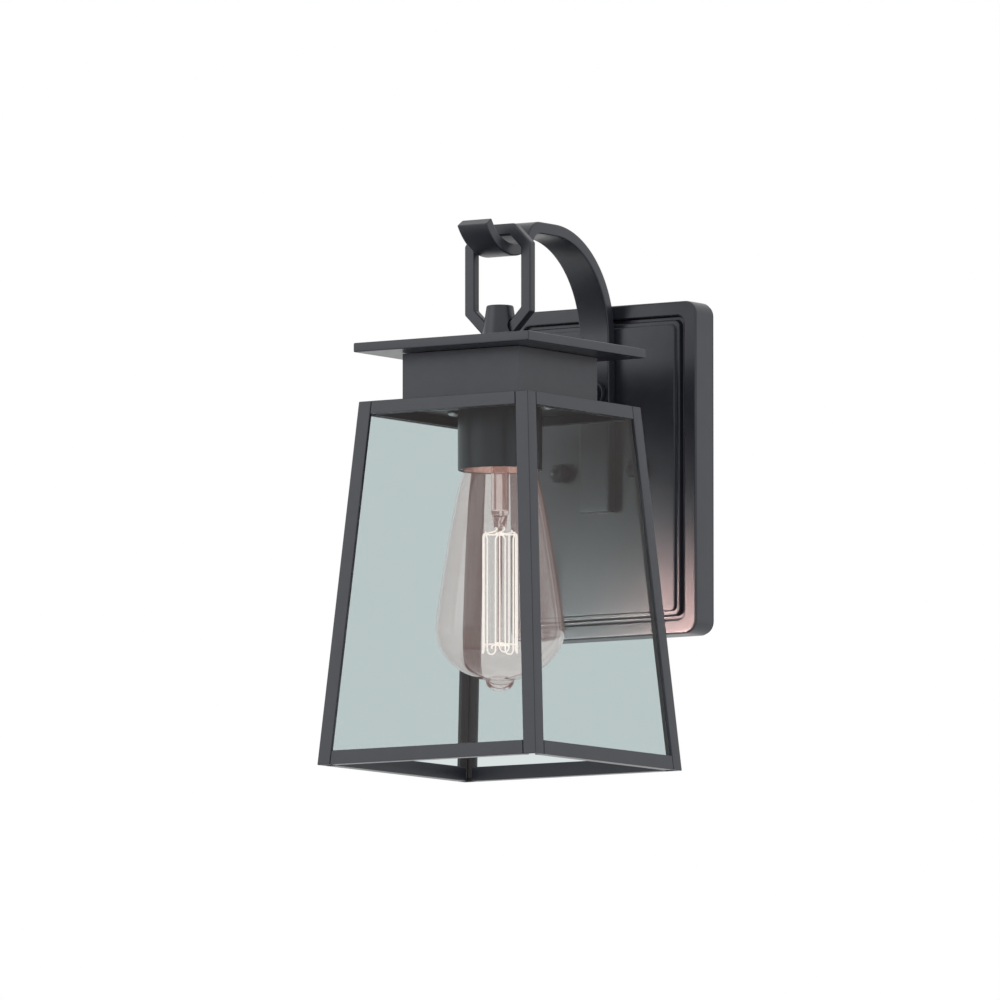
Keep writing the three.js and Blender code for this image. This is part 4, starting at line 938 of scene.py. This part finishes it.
def hook_arm():
    line = arm_line()
    width = (high("hook_arm") - low("hook_arm")).x
    half = STRIP_THICKNESS / 2
    bm = bmesh.new()
    rings = []
    count = len(line)
    for i, (y, z) in enumerate(line):
        before = Vector(line[max(i - 1, 0)])
        after = Vector(line[min(i + 1, count - 1)])
        tangent = (after - before).normalized()
        normal = Vector((tangent.y, -tangent.x))
        section = rounded(rectangle(width / 2, half), STRIP_EDGE)
        rings.append([bm.verts.new((x, y + normal.x * t, z + normal.y * t)) for x, t in section])
    ends = bridge(bm, rings)
    rim = {edge for face in ends for edge in face.edges}
    bmesh.ops.bevel(bm, geom=list(rim), offset=0.5 * MM, offset_type="OFFSET", segments=2, profile=0.5,
                    affect="EDGES", clamp_overlap=True)
    solid = to_mesh("hook_arm", bm)
    holes = [round_hole(TUBE_RADIUS + HOLE_PLAY, LEG_BACK - MM, LEG_BACK + STRIP_THICKNESS + MM, 0, TUBE_Z)]
    for name in ARM_SCREWS:
        holes.append(round_hole(ARM_SCREW_RADIUS + HOLE_PLAY, LEG_BACK - MM, -low(name).y + HOLE_PLAY,
                                0, middle(name).z))
    stand_for("hook_arm", boolean(solid, "DIFFERENCE", *holes))


def wire_tube():
    near, far = wall_span("wire_tube")
    neck_back = -high("neck_box").y
    shoulder_far = neck_back - HOLE_PLAY
    shoulder_near = shoulder_far - SHOULDER_LENGTH
    shoulder = (high("wire_tube") - low("wire_tube")).z / 2
    outline = rounded([
        (TUBE_BORE, near), (TUBE_RADIUS, near), (TUBE_RADIUS, shoulder_near, 0.8 * MM),
        (shoulder, shoulder_near, 0.5 * MM), (shoulder, shoulder_far), (TUBE_RADIUS, shoulder_far),
        (TUBE_RADIUS, far), (TUBE_BORE, far)], 0.25 * MM)
    stand_for("wire_tube", lathe("wire_tube", outline, MEDIUM, ALONG_TUBE))


def tube_collar():
    node = "tube_collar"
    radius = (high(node) - low(node)).z / 2
    outline = rounded([(TUBE_RADIUS + HOLE_PLAY, -high(node).y), (radius, -high(node).y),
                       (radius, -low(node).y, 0.8 * MM), (TUBE_RADIUS + HOLE_PLAY, -low(node).y)], 0.2 * MM)
    stand_for(node, lathe(node, outline, MEDIUM, ALONG_TUBE))


def loop_stem():
    node = "loop_stem"
    bottom, top = low(node).z, high(node).z
    foot = top - STEM_HEIGHT + HOLE_PLAY
    stud_threads = threaded_outline(STEM_STUD_RADIUS, bottom + 0.4 * MM, foot - 0.8 * MM, MM, 0.3 * MM)
    outline = [(0, bottom), (STEM_STUD_RADIUS - 0.4 * MM, bottom), *stud_threads,
               (STEM_STUD_RADIUS, foot), *rounded([
                   (0, foot, 0), (STEM_BASE_RADIUS, foot), (STEM_TOP_RADIUS, top, 0.8 * MM), (0, top, 0)],
                   0.5 * MM)[1:]]
    body = lathe(node, outline, FINE)
    radius = math.hypot(LINK_BAR, LINK_THICKNESS) / 2 + EYE_PLAY
    eye = prism("eye", regular(MEDIUM, radius), -2 * STEM_BASE_RADIUS, 2 * STEM_BASE_RADIUS,
                Matrix.Translation((0, AXIS_Y, LINK_PIVOT_Z)) @ Matrix.Rotation(QUARTER, 4, "Y"))
    stand_for(node, edged(boolean(body, "DIFFERENCE", eye), 0.25 * MM, 40))


def hanging_link():
    stand_softened("hanging_link", 0.75 * MM)


# ---- housing and cage

def housing():
    stand_softened("neck_box", 0.45 * MM, 50)
    stand_softened("roof_plate", 0.6 * MM, 50)
    stand_softened("cage_cover", 0.3 * MM, 50)
    hexagon_nut("stem_nut", STEM_NUT_FLATS, STEM_STUD_RADIUS + NUT_FIT, False)
    hexagon_nut("tube_locknut_wall", LOCKNUT_FLATS, TUBE_RADIUS + NUT_FIT, True)
    hexagon_nut("tube_locknut_neck", LOCKNUT_FLATS, TUBE_RADIUS + NUT_FIT, True)
    for side in ("left", "right"):
        name = f"neck_screw_{side}"
        machine_screw(name, 1.5 * MM, 3 * MM, 2 * MM, 0.8 * MM,
                      Matrix.Translation((middle(name).x, middle(name).y, low(name).z)))


def cage():
    for corner in ("rear_right", "rear_left", "front_left", "front_right"):
        name = f"corner_post_{corner}"
        stand_softened(name, 0.4 * MM)
    for face in ("front", "right", "rear", "left"):
        for rail in ("bottom_rail", "top_rail"):
            name = f"{rail}_{face}"
            stand_softened(name, 0.25 * MM)
        name = f"glass_pane_{face}"
        stand_softened(name, 0.2 * MM)


# ---- lampholder

def holder_screw_holes(bottom, top):
    outline = regular(SMALL, HOLDER_SCREW_RADIUS + HOLE_PLAY)
    return [prism("hole", outline, bottom, top, Matrix.Translation((0, AXIS_Y + side * HOLDER_SCREW_AT, 0)))
            for side in (-1, 1)]


def socket_cup():
    node = "socket_cup"
    mouth, top = low(node).z, high(node).z
    radius = radius_of(node)
    inner = radius - CUP_WALL
    outline = rounded([
        (CUP_HOLE, top - CUP_FLANGE), (inner, top - CUP_FLANGE, 0.8 * MM), (inner, mouth, 0.4 * MM),
        (radius, mouth, 0.5 * MM), (radius, top, 1.2 * MM), (CUP_HOLE, top)], 0.2 * MM)
    cup = lathe(node, outline, FINE)
    holes = holder_screw_holes(top - CUP_FLANGE - MM, top + MM)
    stand_for(node, boolean(cup, "DIFFERENCE", *holes))


def socket_ring():
    node = "socket_ring"
    bottom, top = low(node).z, high(node).z
    radius = radius_of(node)
    outline = rounded([(radius - RING_LIP, bottom, 0.25 * MM), (radius, bottom, 0.2 * MM),
                       (radius, top, 0.3 * MM), (radius - RING_BAND, top, 0.5 * MM)], 0.3 * MM, 4)
    stand_for(node, lathe(node, outline, FINE))


def lampholder():
    node = "lampholder"
    mouth, top = low(node).z, high(node).z
    flange_low = low("neck_box").z
    flange_radius = radius_of(node)
    flange_high = flange_low + HOLDER_FLANGE
    cavity = top - HOLDER_ROOF
    outline = rounded([
        (0, cavity, 0), (HOLDER_CAVITY, cavity, 1.5 * MM), (HOLDER_CAVITY, mouth, 0.6 * MM),
        (HOLDER_RADIUS, mouth, 0.8 * MM), (HOLDER_RADIUS, flange_low, 0.5 * MM),
        (flange_radius, flange_low, 0.6 * MM), (flange_radius, flange_high, 0.6 * MM),
        (HOLDER_RADIUS, flange_high, 0.4 * MM), (HOLDER_TOP_RADIUS, top, 1.2 * MM), (0, top, 0)], 0.5 * MM)
    body = lathe(node, outline, FINE)
    holes = holder_screw_holes(flange_low - MM, flange_high + MM)
    stand_for(node, boolean(body, "DIFFERENCE", *holes))
    for end in ("rear", "front"):
        name = f"holder_screw_{end}"
        place = Matrix.Translation((0, middle(name).y, high(name).z)) @ Matrix.Rotation(math.pi, 4, "X")
        machine_screw(name, HOLDER_SCREW_RADIUS, 2.5 * MM, 1.6 * MM, 0.6 * MM, place)


def threaded_shell(node, sheet, lead_in):
    """Rolled-thread shell: a right-hand wave on the outside radius and the same wave inside."""
    bottom, top = low(node).z, high(node).z
    radius = radius_of(node)
    bm = bmesh.new()
    segments = 72
    levels = int((top - bottom) / THREAD_PITCH * 10)
    outer, inner = [], []
    for level in range(levels + 1):
        z = bottom + (top - bottom) * level / levels
        fade = min(1, (z - bottom) / lead_in, (top - z) / lead_in)
        ring_outer, ring_inner = [], []
        for k in range(segments):
            angle = 2 * math.pi * k / segments
            wave = 0.5 - 0.5 * math.cos(2 * math.pi * z / THREAD_PITCH - angle)
            r = radius - THREAD_DEPTH * wave * fade
            ring_outer.append(bm.verts.new((r * math.cos(angle), r * math.sin(angle), z)))
            ring_inner.append(bm.verts.new(((r - sheet) * math.cos(angle), (r - sheet) * math.sin(angle), z)))
        outer.append(ring_outer)
        inner.append(ring_inner)
    bridge(bm, outer + inner[::-1], closed=True)
    bm.transform(ON_AXIS)
    return to_mesh(node, bm)


def contacts():
    stand_for("screw_shell", threaded_shell("screw_shell", SHELL_SHEET, 2 * MM), crisp=False)
    node = "socket_contact"
    stand_for(node, lathe(node, disc_outline(radius_of(node), low(node).z, high(node).z)))


# ---- bulb

def envelope(inset):
    """Outline of the envelope from the neck's open end down to the exhaust tip."""
    neck = [(GLASS_NECK_RADIUS - inset, LAMP_RIM + GLASS_NECK_LENGTH),
            (GLASS_NECK_RADIUS - inset, LAMP_RIM + GLASS_NECK_LENGTH / 2)]
    flare = smooth_path([
        (GLASS_NECK_RADIUS, 0, LAMP_RIM),
        (BULB_SHOULDER_RADIUS - BULB_FLARE, 0, LAMP_RIM - 0.32 * BULB_SHOULDER_DROP),
        (BULB_SHOULDER_RADIUS, 0, LAMP_RIM - BULB_SHOULDER_DROP),
        (BULB_MIDDLE_RADIUS, 0, LAMP_RIM - 0.42 * BULB_WIDEST_DROP),
        (BULB_RADIUS - BULB_LOW_STEP, 0, LAMP_RIM - 0.84 * BULB_WIDEST_DROP),
        (BULB_RADIUS, 0, LAMP_RIM - BULB_WIDEST_DROP)], 9)
    body = [(min(point.x, BULB_RADIUS) - inset, point.z) for point in flare]
    centre = LAMP_RIM - BULB_WIDEST_DROP
    last = math.acos(BULB_TIP_RADIUS / BULB_RADIUS)
    bottom = [((BULB_RADIUS - inset) * math.cos(last * k / 18),
               centre - (BULB_BOTTOM_ROUND - inset) * math.sin(last * k / 18)) for k in range(1, 19)]
    radius, top = bottom[-1]
    tip = [(radius * math.cos(QUARTER * k / 10), top - (BULB_TIP_LENGTH - inset) * math.sin(QUARTER * k / 10))
           for k in range(1, 10)]
    return neck + body + bottom + tip + [(0, top - (BULB_TIP_LENGTH - inset))]


def bulb_glass():
    outline = envelope(0)[::-1] + envelope(GLASS_WALL)
    stand_for("bulb_glass", lathe("bulb_glass", outline, FINE), crisp=False)


def bulb_base():
    stand_for("bulb_base", threaded_shell("bulb_base", BASE_SHEET, 2.5 * MM), crisp=False)
    node = "base_insulator"
    radius = radius_of(node)
    outline = rounded([(0, low(node).z, 0), (radius, low(node).z, 0.3 * MM), (6 * MM, high(node).z, 1.2 * MM),
                       (0, high(node).z, 0)], 0.5 * MM)
    stand_for(node, lathe(node, outline))
    node = "base_contact"
    radius = radius_of(node)
    outline = rounded([(0, low(node).z, 0), (radius, low(node).z, 0.2 * MM),
                       (0.65 * radius, high(node).z, 0.6 * MM), (0, high(node).z, 0)], 0.5 * MM, 5)
    stand_for(node, lathe(node, outline))


PINCH_TOP = LAMP_RIM - STEM_GLASS_DROP
PINCH_BOTTOM = PINCH_TOP - PINCH_LENGTH


def glass_stem():
    """Flared tube, flat pinch and centre rod, joined into one piece."""
    node = "glass_stem"
    flare_top = high(node).z
    tube = lathe(node, rounded([
        (0, PINCH_TOP, 0), (STEM_GLASS_RADIUS, PINCH_TOP, 1.5 * MM),
        (STEM_GLASS_RADIUS, LAMP_RIM + 2 * MM, 3 * MM), (STEM_GLASS_FLARE, flare_top, 0.3 * MM),
        (STEM_GLASS_FLARE - GLASS_WALL, flare_top, 0.3 * MM),
        (STEM_GLASS_RADIUS - GLASS_WALL, LAMP_RIM + 2 * MM, 3 * MM),
        (STEM_GLASS_RADIUS - GLASS_WALL, PINCH_TOP + 2 * MM, 1 * MM), (0, PINCH_TOP + 2 * MM, 0)],
        0.4 * MM, 5), MEDIUM)
    bm = bmesh.new()
    rings = []
    levels = 10
    for level in range(levels + 1):
        t = level / levels
        ease = t * t * (3 - 2 * t)
        z = PINCH_BOTTOM + (PINCH_TOP + MM - PINCH_BOTTOM) * t
        half_x = 3.7 * MM + 0.3 * MM * ease
        half_y = 1.2 * MM + 2.4 * MM * ease
        rings.append([bm.verts.new((half_x * math.cos(a), half_y * math.sin(a), z))
                      for a in (2 * math.pi * k / SMALL for k in range(SMALL))])
    bridge(bm, rings)
    bm.transform(ON_AXIS)
    pinch = to_mesh("pinch", bm)
    rod_foot = LAMP_RIM - CENTRE_ROD_DROP
    rod = lathe("rod", rounded([(0, rod_foot, 0), (CENTRE_ROD_RADIUS, rod_foot, MM),
                                (CENTRE_ROD_RADIUS, PINCH_BOTTOM + MM), (0, PINCH_BOTTOM + MM, 0)],
                               0.2 * MM, 4), SMALL)
    stand_for(node, boolean(tube, "UNION", pinch, rod), crisp=False)


def filament_points():
    """One wire: lead-in, strands round the axis with round turns at their ends, lead-out."""
    top = LAMP_RIM - FILAMENT_TOP_DROP
    bottom = LAMP_RIM - FILAMENT_BOTTOM_DROP
    step = 2 * math.pi / (FILAMENT_STRANDS + 1)
    turn = FILAMENT_CAGE_RADIUS * step / 2

    def at(angle, z):
        x, y = FILAMENT_CAGE_RADIUS * math.cos(angle), FILAMENT_CAGE_RADIUS * math.sin(angle)
        return Vector((x, AXIS_Y + y, z))

    points = []
    for strand in range(FILAMENT_STRANDS):
        angle = (strand + 1) * step - QUARTER
        down = strand % 2 == 0
        ends = (top - turn, bottom + turn) if down else (bottom + turn, top - turn)
        points += [at(angle, ends[0] + (ends[1] - ends[0]) * k / 8) for k in range(9)]
        if strand < FILAMENT_STRANDS - 1:
            sign = -1 if down else 1
            for k in range(1, 10):
                t = math.pi * k / 10
                points.append(at(angle + step / 2 * (1 - math.cos(t)), ends[1] + sign * turn * math.sin(t)))
    first, last = points[0], points[-1]
    start = Vector((LEAD_IN_AT, AXIS_Y, PINCH_BOTTOM + 0.5 * MM))
    lead_in = smooth_path([start, start + Vector((0, 0, -2 * MM)), first + Vector((-MM, 0.6 * MM, 2 * MM)),
                           first], 6)[:-1]
    end = Vector((-LEAD_IN_AT, AXIS_Y, PINCH_BOTTOM + 0.5 * MM))
    lead_out = smooth_path([last, last + Vector((MM, 0.6 * MM, 2 * MM)), end + Vector((0, 0, -2 * MM)),
                            end], 6)[1:]
    return lead_in + points + lead_out


def filament():
    mesh = bar_along("filament", filament_points(), regular(8, FILAMENT_WIRE))
    stand_for("filament", mesh, crisp=False)


def filament_spider():
    """Hubs on the centre rod with hooked wire arms that hold the filament's turns."""
    parts = []
    step = 2 * math.pi / (FILAMENT_STRANDS + 1)
    reach = FILAMENT_CAGE_RADIUS - FILAMENT_WIRE - SPIDER_WIRE
    upper = LAMP_RIM - FILAMENT_TOP_DROP - 0.5 * MM
    lower = LAMP_RIM - FILAMENT_BOTTOM_DROP + 4.5 * MM
    for z, first, lift in ((upper, 1, 1), (lower, 0, -1)):
        parts.append(lathe("hub", rounded([
            (CENTRE_ROD_RADIUS + 0.02 * MM, z - 0.9 * MM), (CENTRE_ROD_RADIUS + MM, z - 0.9 * MM),
            (CENTRE_ROD_RADIUS + MM, z + 0.9 * MM), (CENTRE_ROD_RADIUS + 0.02 * MM, z + 0.9 * MM)],
            0.4 * MM), SMALL))
        for k in range(first, FILAMENT_STRANDS - 1, 2):
            angle = (k + 1.5) * step - QUARTER
            out = Vector((math.cos(angle), math.sin(angle), 0))
            centre = Vector((0, AXIS_Y, z))
            rise = Vector((0, 0, lift * MM))
            path = smooth_path([
                centre + out * (CENTRE_ROD_RADIUS + 0.6 * MM), centre + out * 0.6 * reach,
                centre + out * reach + rise * 0.4, centre + out * reach + rise * 1.6], 6)
            parts.append(bar_along("arm", path, regular(8, SPIDER_WIRE)))
    bm = bmesh.new()
    for part in parts:
        bm.from_mesh(part)
    stand_for("filament_spider", to_mesh("filament_spider", bm), crisp=False)


def bulb():
    bulb_glass()
    bulb_base()
    glass_stem()
    filament()
    filament_spider()


# ---- supply leads

def supply_lead(node, side):
    """From a terminal on the lampholder's top, back through the tube, then down behind the plate."""
    x = side * LEAD_SPACING / 2
    hang_y = LEAD_BEHIND_PANEL - PANEL_FRONT
    terminal = side * LEAD_TERMINAL_AT
    start = high("lampholder").z + HOLE_PLAY
    tube_near = -high("wire_tube").y
    corners = [
        (terminal, AXIS_Y, start), (terminal, AXIS_Y + 0.6 * MM, start + 2 * MM),
        (terminal, AXIS_Y + 4 * MM, TUBE_Z - MM), ((terminal + x) / 2, AXIS_Y + 10 * MM, TUBE_Z),
        (x, AXIS_Y + 18 * MM, TUBE_Z), (x, AXIS_Y / 2, TUBE_Z), (x, -PANEL_FRONT, TUBE_Z),
        (x, -tube_near, TUBE_Z), (x, hang_y - MM, TUBE_Z - 1.6 * MM), (x, hang_y, TUBE_Z - 6 * MM),
        (x + side * 2 * MM, hang_y, TUBE_Z - LEAD_DROP / 2), (x + side * 6 * MM, hang_y, TUBE_Z - LEAD_DROP)]
    stand_for(node, bar_along(node, smooth_path(corners, 10), regular(16, LEAD_RADIUS)), crisp=False)


# ---- assembly

wall_plate()
wall_gasket()
plate_fixings()
hook_arm()
wire_tube()
tube_collar()
loop_stem()
hanging_link()
housing()
cage()
socket_cup()
socket_ring()
lampholder()
contacts()
bulb()
supply_lead("live_lead", 1)
supply_lead("neutral_lead", -1)

add_world()
add_lights()
add_floor()
add_camera()
bpy.context.scene.view_settings.view_transform = "Standard"
